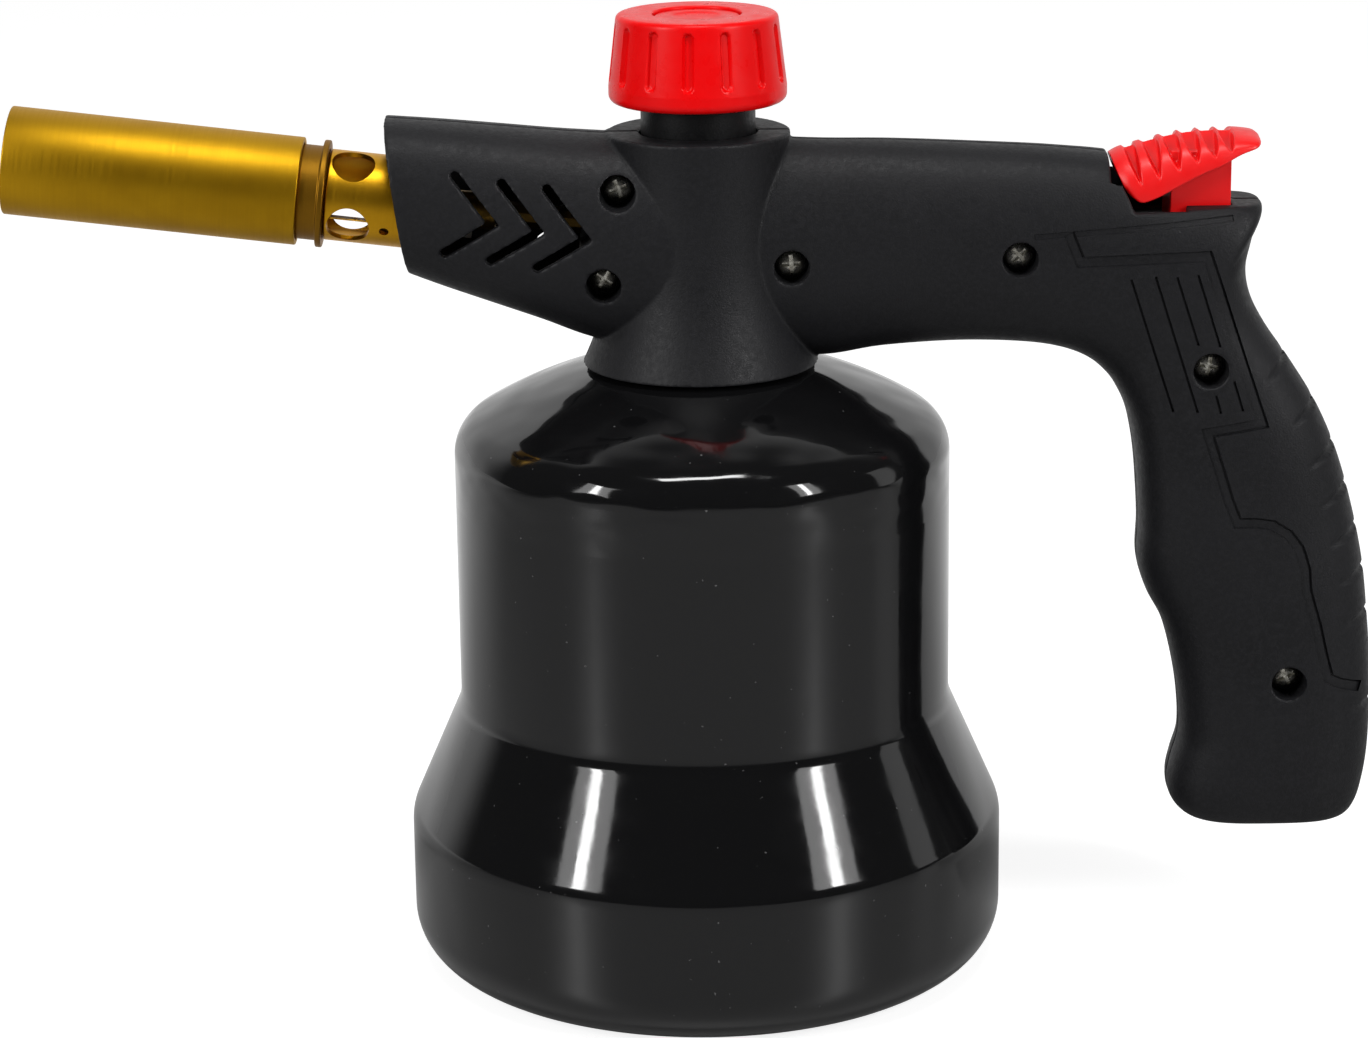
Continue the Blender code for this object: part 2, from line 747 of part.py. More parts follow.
def build_canister():
    canister = turned("canister", canister_profile(), BLACK_PAINT, STEPS_CANISTER, ring=True)
    reach = mouth_r + BASE_LUG_REACH + RUN_GAP
    high = CANISTER_WALL + OVERRUN
    sectors = bayonet_sector(
        "bayonet_notches", mouth_r - OVERRUN, reach, -OVERRUN, high, BASE_NOTCH_DEG
    )
    notches = add_cutter("bayonet_notches", sectors)
    notches.rotation_euler.z = math.radians(-BASE_TURN_DEG)
    shade(combine(canister, [notches]))


def build_base_cap():
    """Dished cap with a grip bar; its lugs lie over the canister's lip."""
    rim_r = base_cap_r - BASE_CAP_RIM
    plate_z = BASE_CAP_H - BASE_CAP_PLATE
    profile = [
        (0.0, BASE_CAP_H),
        (base_cap_r, BASE_CAP_H),
        (base_cap_r, BASE_CAP_LIFT),
        (rim_r, BASE_CAP_LIFT),
        (rim_r, plate_z),
        (0.0, plate_z),
    ]
    cap = turned("base_cap", profile, BASE_PLASTIC, STEPS_CANISTER)
    half_bar = BASE_BAR_W / 2
    bar_reach = rim_r + BASE_CAP_RIM / 2
    low = (-bar_reach, -half_bar, 0.0)
    high = (bar_reach, half_bar, plate_z + BASE_CAP_PLATE / 2)
    bar = add_cutter("base_bar", box_mesh("base_bar", low, high))
    lug_z = CANISTER_WALL + BASE_LUG_LIFT
    lug_in = base_cap_r - BASE_CAP_RIM / 2
    lug_out = mouth_r + BASE_LUG_REACH
    sectors = bayonet_sector(
        "base_lugs", lug_in, lug_out, lug_z, lug_z + BASE_LUG_H, BASE_LUG_DEG
    )
    lugs = add_cutter("base_lugs", sectors)
    shade(combine(cap, [bar, lugs], "UNION"))
    pad_top = pad_z + PAD_THICKNESS
    pad = [
        (PAD_R, pad_top),
        (PAD_R, pad_z),
        (PAD_R - PAD_WIDTH, pad_z),
        (PAD_R - PAD_WIDTH, pad_top),
    ]
    shade(turned("cartridge_pad", pad, RUBBER, STEPS_CARTRIDGE, ring=True))


def build_cartridge():
    wall = CARTRIDGE_WALL
    side_top = cartridge_top - CARTRIDGE_SHOULDER_H
    cap_z = cartridge_top - CARTRIDGE_CAP_H
    rim_r = CARTRIDGE_R - CARTRIDGE_RIM
    dish_z = cartridge_z + CARTRIDGE_DISH
    outer = [
        (CARTRIDGE_HOLE_R, cartridge_top),
        (CARTRIDGE_CAP_R, cartridge_top),
        (CARTRIDGE_CAP_R + wall, cap_z),
        (CARTRIDGE_R * 0.55, (cap_z * 3 + side_top) / 4),
        (CARTRIDGE_R * 0.85, (cap_z + side_top) / 2),
        (CARTRIDGE_R, side_top),
        (CARTRIDGE_R, cartridge_z),
        (rim_r, cartridge_z),
        (rim_r - CARTRIDGE_RIM, dish_z),
        (0.0, dish_z),
    ]
    inner = [
        (0.0, dish_z + wall),
        (CARTRIDGE_R - wall, dish_z + wall),
        (CARTRIDGE_R - wall, side_top - wall),
        (CARTRIDGE_R * 0.85 - wall, (cap_z + side_top) / 2 - wall),
        (CARTRIDGE_R * 0.55, (cap_z * 3 + side_top) / 4 - wall),
        (CARTRIDGE_CAP_R, cap_z - wall),
        (CARTRIDGE_CAP_R - wall, cartridge_top - wall),
        (CARTRIDGE_HOLE_R, cartridge_top - wall),
    ]
    shade(turned("gas_cartridge", inner + outer, CARTRIDGE_PAINT, STEPS_CARTRIDGE))


def valve_profile():
    """Outer side of the brass valve from its neck to its tip, then its stepped bore."""
    gasket_top = seat_z - CANISTER_WALL - SEAT_GAP
    flange_top = gasket_top - STEM_GASKET_H - SEAT_GAP
    tip_z = cartridge_top + SEAT_GAP + SEAL_H - SEAL_LIP
    seal_top = cartridge_top + SEAT_GAP + SEAL_H + SEAT_GAP
    collar_top = axis_z - COLLAR_BELOW_AXIS
    block_top = axis_z + BLOCK_ABOVE_AXIS
    neck_top = column_top - VALVE_NECK_DROP
    bore_top = block_top + SEAT_GAP
    needle_top = seal_top + NEEDLE_HEAD_H + SEAT_GAP
    outer = [
        (GLAND_BORE_R, neck_top),
        (VALVE_NECK_R, neck_top),
        (VALVE_NECK_R, block_top),
        (BLOCK_R, block_top),
        (BLOCK_R, collar_top),
        (COLLAR_R, collar_top),
        (COLLAR_R, collar_top - COLLAR_H),
        (STEM_R, collar_top - COLLAR_H),
        (STEM_R, flange_top),
        (STEM_FLANGE_R, flange_top),
        (STEM_FLANGE_R, flange_top - STEM_FLANGE_H),
        (TIP_R, flange_top - STEM_FLANGE_H),
        (TIP_R, tip_z),
        (SEAL_R + SEAT_GAP, tip_z),
        (SEAL_R + SEAT_GAP, seal_top),
    ]
    bore = [
        (NEEDLE_HEAD_R + SEAT_GAP, seal_top),
        (NEEDLE_HEAD_R + SEAT_GAP, needle_top),
        (CHANNEL_R, needle_top),
        (CHANNEL_R, axis_z - CHAMBER_BELOW_AXIS),
        (CHAMBER_R, axis_z - CHAMBER_BELOW_AXIS),
        (CHAMBER_R, bore_top),
        (GLAND_BORE_R, bore_top),
    ]
    return outer + bore


def build_valve():
    body = turned("valve_body", valve_profile(), DULL_BRASS, STEPS_VALVE, ring=True)
    port_start = along_burner(CHAMBER_R / 2)
    port_end = along_burner(BLOCK_R + OVERRUN)
    port = rods("gas_port", [(port_start, port_end)], PIPE_R + SEAT_GAP, STEPS_SMALL)
    shade(combine(body, [port]))
    gasket_top = seat_z - CANISTER_WALL - SEAT_GAP
    gasket = [
        (STEM_FLANGE_R, gasket_top),
        (STEM_FLANGE_R, gasket_top - STEM_GASKET_H),
        (STEM_R + SEAT_GAP, gasket_top - STEM_GASKET_H),
        (STEM_R + SEAT_GAP, gasket_top),
    ]
    shade(turned("stem_gasket", gasket, RUBBER, STEPS_VALVE, ring=True))
    seal_z = cartridge_top + SEAT_GAP
    seal = [
        (SEAL_R, seal_z + SEAL_H),
        (SEAL_R, seal_z),
        (SEAL_BORE_R, seal_z),
        (SEAL_BORE_R, seal_z + SEAL_H),
    ]
    shade(turned("cartridge_seal", seal, RUBBER, STEPS_VALVE, ring=True))
    build_needle(seal_z + SEAL_H + SEAT_GAP)
    build_neck_nut()
    build_gland()


def build_needle(head_z):
    """Hollow piercing needle, pressed into the foot of the valve."""
    point_z = cartridge_top - NEEDLE_REACH
    profile = [
        (NEEDLE_BORE_R, head_z + NEEDLE_HEAD_H),
        (NEEDLE_HEAD_R, head_z + NEEDLE_HEAD_H),
        (NEEDLE_HEAD_R, head_z),
        (NEEDLE_R, head_z),
        (NEEDLE_R, point_z + NEEDLE_R),
        (NEEDLE_BORE_R, point_z),
    ]
    shade(turned("piercing_needle", profile, STEEL, STEPS_SMALL, ring=True))


def hex_nut(name, flats, low_z, height, bore_r, look):
    bm = bmesh.new()
    middle = low_z + height / 2
    corner_r = flats / math.sqrt(3)
    bmesh.ops.create_cone(
        bm,
        cap_ends=True,
        segments=6,
        radius1=corner_r,
        radius2=corner_r,
        depth=height,
        matrix=Matrix.Translation((0.0, 0.0, middle)),
    )
    nut = add_object(name, mesh_from(bm, name), PIECES, look)
    ends = ((0.0, 0.0, low_z - OVERRUN), (0.0, 0.0, low_z + height + OVERRUN))
    return combine(nut, [rods(name + "_bore", [ends], bore_r, STEPS_VALVE)])


def build_neck_nut():
    """Locks the valve to the canister's crown, inside the column."""
    bore_r = STEM_R + SEAT_GAP
    nut_z = seat_z + SEAT_GAP
    shade(hex_nut("neck_nut", NECK_NUT_FLATS, nut_z, NECK_NUT_H, bore_r, STEEL))


def build_gland():
    """Gland nut, O-ring and spindle in the top of the valve."""
    neck_top = column_top - VALVE_NECK_DROP
    nut_z = neck_top + SEAT_GAP
    bore_r = SPINDLE_R + RUN_GAP
    nut = hex_nut("gland_nut", GLAND_FLATS, nut_z, GLAND_H, bore_r, BRASS)
    spigot_r = GLAND_BORE_R - SEAT_GAP
    spigot = [
        (spigot_r, nut_z + SEAT_GAP),
        (spigot_r, nut_z - GLAND_SPIGOT_H),
        (bore_r, nut_z - GLAND_SPIGOT_H),
        (bore_r, nut_z + SEAT_GAP),
    ]
    joined = turned_cutter("gland_spigot", spigot, STEPS_VALVE, ring=True)
    shade(combine(nut, [joined], "UNION"))
    ring_z = axis_z + BLOCK_ABOVE_AXIS + SEAT_GAP + O_RING_WIRE_R + SEAT_GAP
    ring = arc((O_RING_R, ring_z), O_RING_WIRE_R, 0.0, -300.0, 5)
    shade(turned("spindle_o_ring", ring, RUBBER, STEPS_SMALL, ring=True))
    build_spindle(ring_z)


def build_spindle(ring_z):
    point_z = axis_z - CHAMBER_BELOW_AXIS + SEAT_GAP
    cone_top = point_z + SPINDLE_POINT_H
    thread_z = point_z + SPINDLE_NOSE_H
    half_groove = O_RING_WIRE_R + SEAT_GAP
    web_z = knob_top - KNOB_CAP_SINK - KNOB_SCREW_HEAD_H - 2 * SEAT_GAP - KNOB_WEB
    top = web_z - SEAT_GAP
    hole_r = KNOB_SCREW_R + SEAT_GAP
    hole_z = web_z + KNOB_WEB - KNOB_SCREW_L - SEAT_GAP
    profile = [
        (0.0, hole_z),
        (hole_r, hole_z),
        (hole_r, top),
        (SPINDLE_R, top),
        (SPINDLE_R, ring_z + half_groove),
        (SPINDLE_GROOVE_R, ring_z + half_groove),
        (SPINDLE_GROOVE_R, ring_z - half_groove),
        (SPINDLE_THREAD_R, ring_z - half_groove - SEAT_GAP),
        (SPINDLE_THREAD_R, thread_z),
        (SPINDLE_NOSE_R, thread_z),
        (SPINDLE_NOSE_R, cone_top),
        (SPINDLE_POINT_R, point_z),
        (0.0, point_z),
    ]
    shade(turned("valve_spindle", profile, BRASS, STEPS_SMALL))
    build_knob_screw(web_z)


def build_knob_screw(web_z):
    head_z = web_z + KNOB_WEB + SEAT_GAP
    profile = [
        (0.0, head_z + KNOB_SCREW_HEAD_H),
        (KNOB_SCREW_HEAD_R, head_z + KNOB_SCREW_HEAD_H),
        (KNOB_SCREW_HEAD_R, head_z),
        (KNOB_SCREW_R, head_z),
        (KNOB_SCREW_R, head_z - KNOB_SCREW_L),
        (0.0, head_z - KNOB_SCREW_L),
    ]
    shade(turned("knob_screw", profile, STEEL, STEPS_SMALL))


def knob_profile():
    """From the screw hole over the top, down the skirt, and back through the cavity."""
    head_z = knob_top - KNOB_CAP_SINK - KNOB_SCREW_HEAD_H - 2 * SEAT_GAP
    cap_floor = knob_top - KNOB_CAP_SINK
    web_z = head_z - KNOB_WEB
    cap_r = KNOB_CAP_R + SEAT_GAP
    hub_z = knob_z + KNOB_HUB_LIFT
    cavity_top = knob_z + KNOB_CAVITY_H
    hole_r = KNOB_SCREW_R + SEAT_GAP
    inner_top = [
        (hole_r, web_z),
        (hole_r, head_z),
        (KNOB_SCREW_HEAD_R + SEAT_GAP, head_z),
        (KNOB_SCREW_HEAD_R + SEAT_GAP, cap_floor),
        (cap_r, cap_floor),
    ]
    outside = rounded(
        [
            (cap_r, knob_top),
            (KNOB_TOP_R, knob_top, KNOB_TOP_ROUND),
            (KNOB_SKIRT_R, knob_z + KNOB_SKIRT_H),
            (KNOB_SKIRT_R, knob_z, KNOB_SKIRT_ROUND),
            (KNOB_CAVITY_R, knob_z),
        ],
        2,
    )
    inside = [
        (KNOB_CAVITY_R, cavity_top),
        (KNOB_HUB_R, cavity_top),
        (KNOB_HUB_R, hub_z),
        (SPINDLE_R + SEAT_GAP, hub_z),
        (SPINDLE_R + SEAT_GAP, web_z),
    ]
    return inner_top + outside + inside


def knob_groove_cutter():
    """A round-ended groove for each place round the skirt, in one cutter."""
    low = knob_z + KNOB_GROOVE_BOTTOM
    high = knob_top - KNOB_GROOVE_TOP
    slope = (KNOB_SKIRT_R - KNOB_TOP_R) / (KNOB_H - KNOB_SKIRT_H)
    bm = bmesh.new()
    for number in range(KNOB_GROOVES):
        turn = math.radians(KNOB_GROOVE_PHASE_DEG - 90.0 + 360.0 * number / KNOB_GROOVES)
        ray = Vector((math.cos(turn), math.sin(turn), 0.0))
        ends = []
        for z in (low, high):
            surface = KNOB_TOP_R + slope * (knob_top - z)
            ends.append(ray * (surface + KNOB_GROOVE_STAND) + Vector((0.0, 0.0, z)))
        add_rod(bm, ends[0], ends[1], KNOB_GROOVE_R, 8)
    return add_cutter("knob_grooves", mesh_from(bm, "knob_grooves"))


def build_knob():
    knob = turned("knob", knob_profile(), RED_PLASTIC, STEPS_KNOB, ring=True)
    shade(combine(knob, [knob_groove_cutter()]))
    cap_z = knob_top - KNOB_CAP_SINK + SEAT_GAP
    cap_top = cap_z + KNOB_CAP_H
    profile = [
        (0.0, cap_top - KNOB_DISH_DEPTH),
        (KNOB_DISH_R * 0.7, cap_top - KNOB_DISH_DEPTH * 0.8),
        (KNOB_DISH_R, cap_top),
        (KNOB_CAP_R, cap_top),
        (KNOB_CAP_R, cap_z),
        (0.0, cap_z),
    ]
    shade(turned("knob_cap", profile, RED_PLASTIC, STEPS_VALVE))


def build_sleeve():
    low = column_top - SLEEVE_SINK
    high = knob_z + SLEEVE_INSIDE_KNOB
    profile = [(SLEEVE_R, high), (SLEEVE_R, low), (SLEEVE_BORE_R, low), (SLEEVE_BORE_R, high)]
    shade(turned("valve_sleeve", profile, BASE_PLASTIC, STEPS_BURNER, ring=True))


def column_radius(share):
    """Radius of the waisted column at a share of its height."""
    if share < COLUMN_WAIST_SHARE:
        rest = 1 - share / COLUMN_WAIST_SHARE
        return COLUMN_WAIST_R + (COLUMN_FOOT_R - COLUMN_WAIST_R) * rest**COLUMN_FLARE_POWER
    rest = (share - COLUMN_WAIST_SHARE) / (1 - COLUMN_WAIST_SHARE)
    return COLUMN_WAIST_R + (COLUMN_TOP_R - COLUMN_WAIST_R) * rest**2


def column_cutter():
    foot_z = seat_z + SEAT_GAP
    height = column_top - foot_z
    shares = (1.0, 0.82, 0.6, 0.42, 0.28, 0.16, 0.07, 0.0)
    side = [(column_radius(share), foot_z + share * height) for share in shares]
    profile = [(0.0, column_top), *side, (0.0, foot_z)]
    return turned_cutter("column_form", profile, STEPS_COLUMN)


def valve_room_cutter():
    """The space that the valve, its nut and the sleeve take up in the column."""
    collar_top = axis_z - COLLAR_BELOW_AXIS + SEAT_GAP
    collar_low = collar_top - COLLAR_H - 2 * SEAT_GAP
    block_top = axis_z + BLOCK_ABOVE_AXIS + SEAT_GAP
    sleeve_floor = column_top - SLEEVE_SINK - SEAT_GAP
    nut_top = seat_z + NUT_ROOM_H
    profile = [
        (0.0, column_top + OVERRUN),
        (SLEEVE_R + SEAT_GAP, column_top + OVERRUN),
        (SLEEVE_R + SEAT_GAP, sleeve_floor),
        (VALVE_NECK_R + SEAT_GAP, sleeve_floor),
        (VALVE_NECK_R + SEAT_GAP, block_top),
        (BLOCK_R + SEAT_GAP, block_top),
        (BLOCK_R + SEAT_GAP, collar_top),
        (COLLAR_R + SEAT_GAP, collar_top),
        (COLLAR_R + SEAT_GAP, collar_low),
        (STEM_R + SEAT_GAP, collar_low),
        (STEM_R + SEAT_GAP, nut_top),
        (NUT_ROOM_R, nut_top),
        (NUT_ROOM_R, seat_z - OVERRUN),
        (0.0, seat_z - OVERRUN),
    ]
    return turned_cutter("valve_room", profile, STEPS_BURNER)


def cavity(name, row_at, rows, wall):
    rings = loft_rings(row_at, rows[0], rows[1], 1, wall, CAVITY_POINTS)
    return add_cutter(name, loft_mesh(name, rings))


def pad_row(position):
    row = smooth_row(PAD_SHARES, position)
    edge = (trigger_x + row[0] * BUTTON_LENGTH, 0.0, deck_z + row[1] * BUTTON_H)
    crest = (trigger_x + row[2] * BUTTON_LENGTH, 0.0, deck_z + row[3] * BUTTON_H)
    return Vector(edge), Vector(crest), row[4] * BUTTON_HALF_W


def pad_point(position, angle):
    """A point on the arched thumb pad, from one edge at 0 to the other at pi."""
    edge, crest, half_width = pad_row(position)
    rise = math.sin(angle) ** 0.8
    return edge + (crest - edge) * rise + Vector((0.0, half_width * math.cos(angle), 0.0))


def button_clearances():
    """Outline of the deck, cut right across, and of the deeper pocket between its walls."""
    front = pad_row(0.0)
    second = pad_row(1.0)
    rear_x = trigger_x + STEM_LENGTH / 2 + RUN_GAP + POCKET_BEHIND
    high = front[1].z + BUTTON_H
    wall_x = front[1].x - RUN_GAP
    deck = [
        (wall_x - BUTTON_TRAVEL / 3, high),
        (wall_x - BUTTON_TRAVEL / 3, front[1].z + BUTTON_TRAVEL / 2),
        (wall_x + RUN_GAP, deck_z + BUTTON_H / 3),
        (front[0].x, deck_z),
        (rear_x, deck_z),
        (rear_x, high),
    ]
    floor_z = deck_z - POCKET_SINK
    pocket = [
        (wall_x, high + OVERRUN),
        (wall_x, front[1].z - BUTTON_TRAVEL - RUN_GAP),
        (front[0].x - RUN_GAP, front[0].z - BUTTON_TRAVEL - RUN_GAP),
        (second[0].x - BUTTON_TRAVEL / 3, floor_z),
        (rear_x - POCKET_BEHIND / 2, floor_z),
        (rear_x - POCKET_BEHIND / 2, high + OVERRUN),
    ]
    return deck, pocket


def trigger_room_cutters():
    deck, pocket = button_clearances()
    across = HANDLE_HALF_T + OVERRUN
    pocket_y = BUTTON_HALF_W + 2 * RUN_GAP
    half_stem = STEM_LENGTH / 2 + RUN_GAP
    stem_y = STEM_HALF_W + RUN_GAP
    half_piezo = PIEZO_LENGTH / 2 + SEAT_GAP
    piezo_y = PIEZO_HALF_W + SEAT_GAP
    floor_z = deck_z - POCKET_SINK
    stem_low = (trigger_x - half_stem, -stem_y, piezo_top - SEAT_GAP)
    stem_high = (trigger_x + half_stem, stem_y, floor_z + OVERRUN)
    piezo_low = (trigger_x - half_piezo, -piezo_y, piezo_z - SEAT_GAP)
    piezo_high = (trigger_x + half_piezo, piezo_y, piezo_top + OVERRUN)
    return [
        add_cutter("deck_cut", prism("deck_cut", deck, -across, across)),
        add_cutter("pad_pocket", prism("pad_pocket", pocket, -pocket_y, pocket_y)),
        add_cutter("stem_well", box_mesh("stem_well", stem_low, stem_high)),
        add_cutter("piezo_pocket", box_mesh("piezo_pocket", piezo_low, piezo_high)),
    ]


def screw_places():
    return [(x * HANDLE_REACH, level(height)) for x, height in SCREW_SHARES]


def boss_cutter():
    ends = []
    for index, row in BOSS_SCREWS:
        x, z = screw_places()[index]
        reach = HANDLE_HALF_T * HANDLE_SHARES[row][4] - BOSS_INSET
        ends.append(((x, -reach, z), (x, reach, z)))
    return rods("screw_bosses", ends, BOSS_R, STEPS_SMALL)


def bent_slot(upper, point, lower, width):
    """Outline of a V-shaped slot with round ends, through three (x, z) points."""
    upper, point, lower = Vector(upper), Vector(point), Vector(lower)
    to_upper = (upper - point).normalized()
    to_lower = (lower - point).normalized()
    half = to_upper.angle(to_lower) / 2
    mitre = (to_upper + to_lower).normalized() * width / 2 / math.sin(half)
    up_deg = math.degrees(math.atan2(to_upper.y, to_upper.x))
    down_deg = math.degrees(math.atan2(to_lower.y, to_lower.x))
    outline = arc(upper, width / 2, up_deg - 90.0, up_deg + 90.0, 3)
    outline.append(tuple(point + mitre))
    outline += arc(lower, width / 2, down_deg - 90.0, down_deg + 90.0, 3)
    outline.append(tuple(point - mitre))
    return outline


def chevron_cutters():
    cutters = []
    for number, corners in enumerate(CHEVRON_SHARES):
        places = [(x * NOSE_REACH, level(z)) for x, z in corners]
        outline = bent_slot(*places, CHEVRON_SLOT_W)
        for side, start in (("front", -CHEVRON_INNER_Y), ("rear", CHEVRON_INNER_Y)):
            name = f"chevron_{side}_{number + 1}"
            end = math.copysign(NOSE_HALF_T + OVERRUN, start)
            ends = sorted((start, end))
            cutters.append(add_cutter(name, prism(name, outline, *ends)))
    return cutters


def notch_cutter():
    ends = []
    for row in NOTCH_ROW_SHARES:
        _, outer, half_thickness, _ = handle_row(row)
        _, ahead, _, _ = handle_row(row + 0.1)
        along = (Vector(ahead) - Vector(outer)).normalized()
        outward = Vector((-along.z, 0.0, along.x)) * NOTCH_STAND
        middle = Vector(outer) + outward
        side = Vector((0.0, half_thickness, 0.0))
        ends.append((middle - side, middle + side))
    return rods("grip_notches", ends, NOTCH_R, 6)


def lead_points(shares, climb):
    """Points of a lead behind the piezo, through the handle."""
    x_piezo = trigger_x - PIEZO_LENGTH / 2 - SEAT_GAP
    z_piezo = level(WIRE_PIEZO_SHARE)
    return [
        (x_piezo - back * HANDLE_REACH, side * HANDLE_HALF_T, z_piezo + rise * climb)
        for back, side, rise in shares
    ]


def wire_route():
    """Middle line of the ignition lead, from the piezo to the electrode's insulator."""
    end, back = insulator_rear()
    low_z = end.z - WIRE_R / 2
    far_x = COLUMN_WAIST_R + LEAD_OFF_COLUMN
    near_x = COLUMN_WAIST_R + LEAD_NEAR_COLUMN
    points = lead_points(LEAD_SHARES, wire_z - level(WIRE_PIEZO_SHARE))
    points += [
        (far_x, wire_y * LEAD_ARM_SHARE, wire_z),
        (near_x, wire_y, wire_z),
        (0.0, wire_y, wire_z),
        (-near_x, wire_y, wire_z),
        (-far_x, wire_y * LEAD_NOSE_SHARE, wire_z - LEAD_DROP),
        (end.x + LEAD_TURN_START, wire_y * LEAD_TURN_START_SHARE, low_z + LEAD_DROP),
        (end.x + LEAD_TURN_END, wire_y * LEAD_TURN_END_SHARE, low_z),
    ]
    return [Vector(point) for point in points] + [end + back * 4 * WIRE_R, end]


def earth_route():
    """Middle line of the earth lead, from the piezo to the side of the valve."""
    end_z = wire_z + EARTH_LIFT
    points = lead_points(EARTH_SHARES, end_z - level(WIRE_PIEZO_SHARE))
    side = points[-1][1]
    x_valve = BLOCK_R + SEAT_GAP
    points += [(x_valve + EARTH_STRAIGHT, side, end_z), (x_valve, side, end_z)]
    return [Vector(point) for point in points]


def insulator_rear():
    """Rear end of the insulator, and the way back along the burner's axis."""
    turn = math.radians(ELECTRODE_PHASE_DEG)
    up = -ELECTRODE_OFFSET * math.cos(turn)
    side = ELECTRODE_OFFSET * math.sin(turn)
    rear_s = tube_s - INSULATOR_BEHIND
    end = along_burner(rear_s - SEAT_GAP, up, side)
    back = (along_burner(0.0) - along_burner(1.0)).normalized()
    return end, back


def tube_mesh(name, route, radius, smooth_steps, resolution=1):
    """A round tube along a smooth curve through the route's points, capped."""
    rows = [tuple(point) for point in route]
    count = (len(rows) - 1) * smooth_steps
    spots = [smooth_row(rows, i / smooth_steps) for i in range(count + 1)]
    curve = bpy.data.curves.new(name, "CURVE")
    curve.dimensions = "3D"
    curve.bevel_depth = radius
    curve.bevel_resolution = resolution
    curve.use_fill_caps = True
    spline = curve.splines.new("POLY")
    spline.points.add(len(spots) - 1)
    for point, spot in zip(spline.points, spots):
        point.co = (*spot, 1.0)
    holder = add_cutter(name + "_route", curve)
    graph = bpy.context.evaluated_depsgraph_get()
    mesh = bpy.data.meshes.new_from_object(holder.evaluated_get(graph))
    bpy.data.objects.remove(holder)
    bm = bmesh.new()
    bm.from_mesh(mesh)
    bmesh.ops.remove_doubles(bm, verts=bm.verts, dist=MERGE_DISTANCE)
    return mesh_from(bm, name)


def wire_channel_cutters():
    gap = WIRE_CHANNEL_GAP
    lead = tube_mesh("lead_channel", wire_route(), WIRE_R + gap, 1)
    earth_points = earth_route()
    earth = tube_mesh("earth_channel", earth_points, EARTH_WIRE_R + gap, 1)
    return [add_cutter("lead_channel", lead), add_cutter("earth_channel", earth)]


def housing_block():
    """The whole head before it is split: column, nose and handle, hollowed."""
    handle = loft_mesh("housing_block", loft_rings(handle_row, 0, len(HANDLE_SHARES) - 1, 1))
    block = add_cutter("housing_block", handle)
    nose = add_cutter(
        "nose_form", loft_mesh("nose_form", loft_rings(nose_row, 0, len(NOSE_SHARES) - 1, 1))
    )
    combine(block, [column_cutter(), nose], "UNION", "MANIFOLD")
    hollows = [
        cavity("nose_cavity", nose_row, NOSE_CAVITY_ROWS, NOSE_WALL),
        cavity("arm_cavity", handle_row, ARM_CAVITY_ROWS, HANDLE_WALL),
        cavity("grip_cavity", handle_row, GRIP_CAVITY_ROWS, HANDLE_WALL),
    ]
    combine(block, hollows, solver="MANIFOLD")
    combine(block, [boss_cutter()], "UNION", "MANIFOLD")
    passage_r = PIPE_R + PIPE_PASSAGE_GAP
    ends = (along_burner(BLOCK_R / 2), along_burner(NOSE_REACH / 2))
    passage = rods("pipe_passage", [ends], passage_r, STEPS_SMALL)
    cuts = [valve_room_cutter(), passage, notch_cutter()]
    cuts += trigger_room_cutters() + wire_channel_cutters() + chevron_cutters()
    return combine(block, cuts, solver="MANIFOLD")


def build_housing():
    block = housing_block()
    wide = HANDLE_REACH + NOSE_REACH
    half_gap = PARTING_GAP / 2
    places = screw_places()
    heads = [((x, -SCREW_SEAT, z), (x, -NOSE_HALF_T - OVERRUN, z)) for x, z in places]
    depth = SCREW_L - SCREW_SEAT + OVERRUN / 4
    shanks = [((x, -SCREW_SEAT - OVERRUN / 4, z), (x, depth, z)) for x, z in places]
    bores = rods("screw_bores", shanks, SCREW_R + SEAT_GAP, 8)
    counterbores = rods("counterbores", heads, COUNTERBORE_R, STEPS_SMALL)
    beyond = COLUMN_FOOT_R + OVERRUN
    for name, sign, extra in (("housing_front", -1, [counterbores]), ("housing_rear", 1, [])):
        half = add_object(name, block.data.copy(), PIECES, BLACK_PLASTIC)
        y_range = sorted((-sign * beyond, sign * half_gap))
        low = (-wide, y_range[0], -wide)
        high = (wide, y_range[1], 2 * wide)
        away = add_cutter(name + "_away", box_mesh(name + "_away", low, high))
        shade(combine(half, [away, bores, *extra], solver="MANIFOLD"))
    bpy.data.objects.remove(block)


def build_housing_screws():
    profile = [
        (0.0, SCREW_HEAD_H),
        (SCREW_HEAD_R * 0.8, SCREW_HEAD_H * 0.9),
        (SCREW_HEAD_R, 0.0),
        (SCREW_R, 0.0),
        (SCREW_R, SCREW_R - SCREW_L),
        (0.0, -SCREW_L),
    ]
    for number, (x, z) in enumerate(screw_places()):
        screw = turned(f"housing_screw_{number + 1}", profile, STEEL, STEPS_SMALL)
        screw.location = (x, -SCREW_SEAT - SEAT_GAP, z)
        screw.rotation_euler.x = math.pi / 2
        shade(screw)


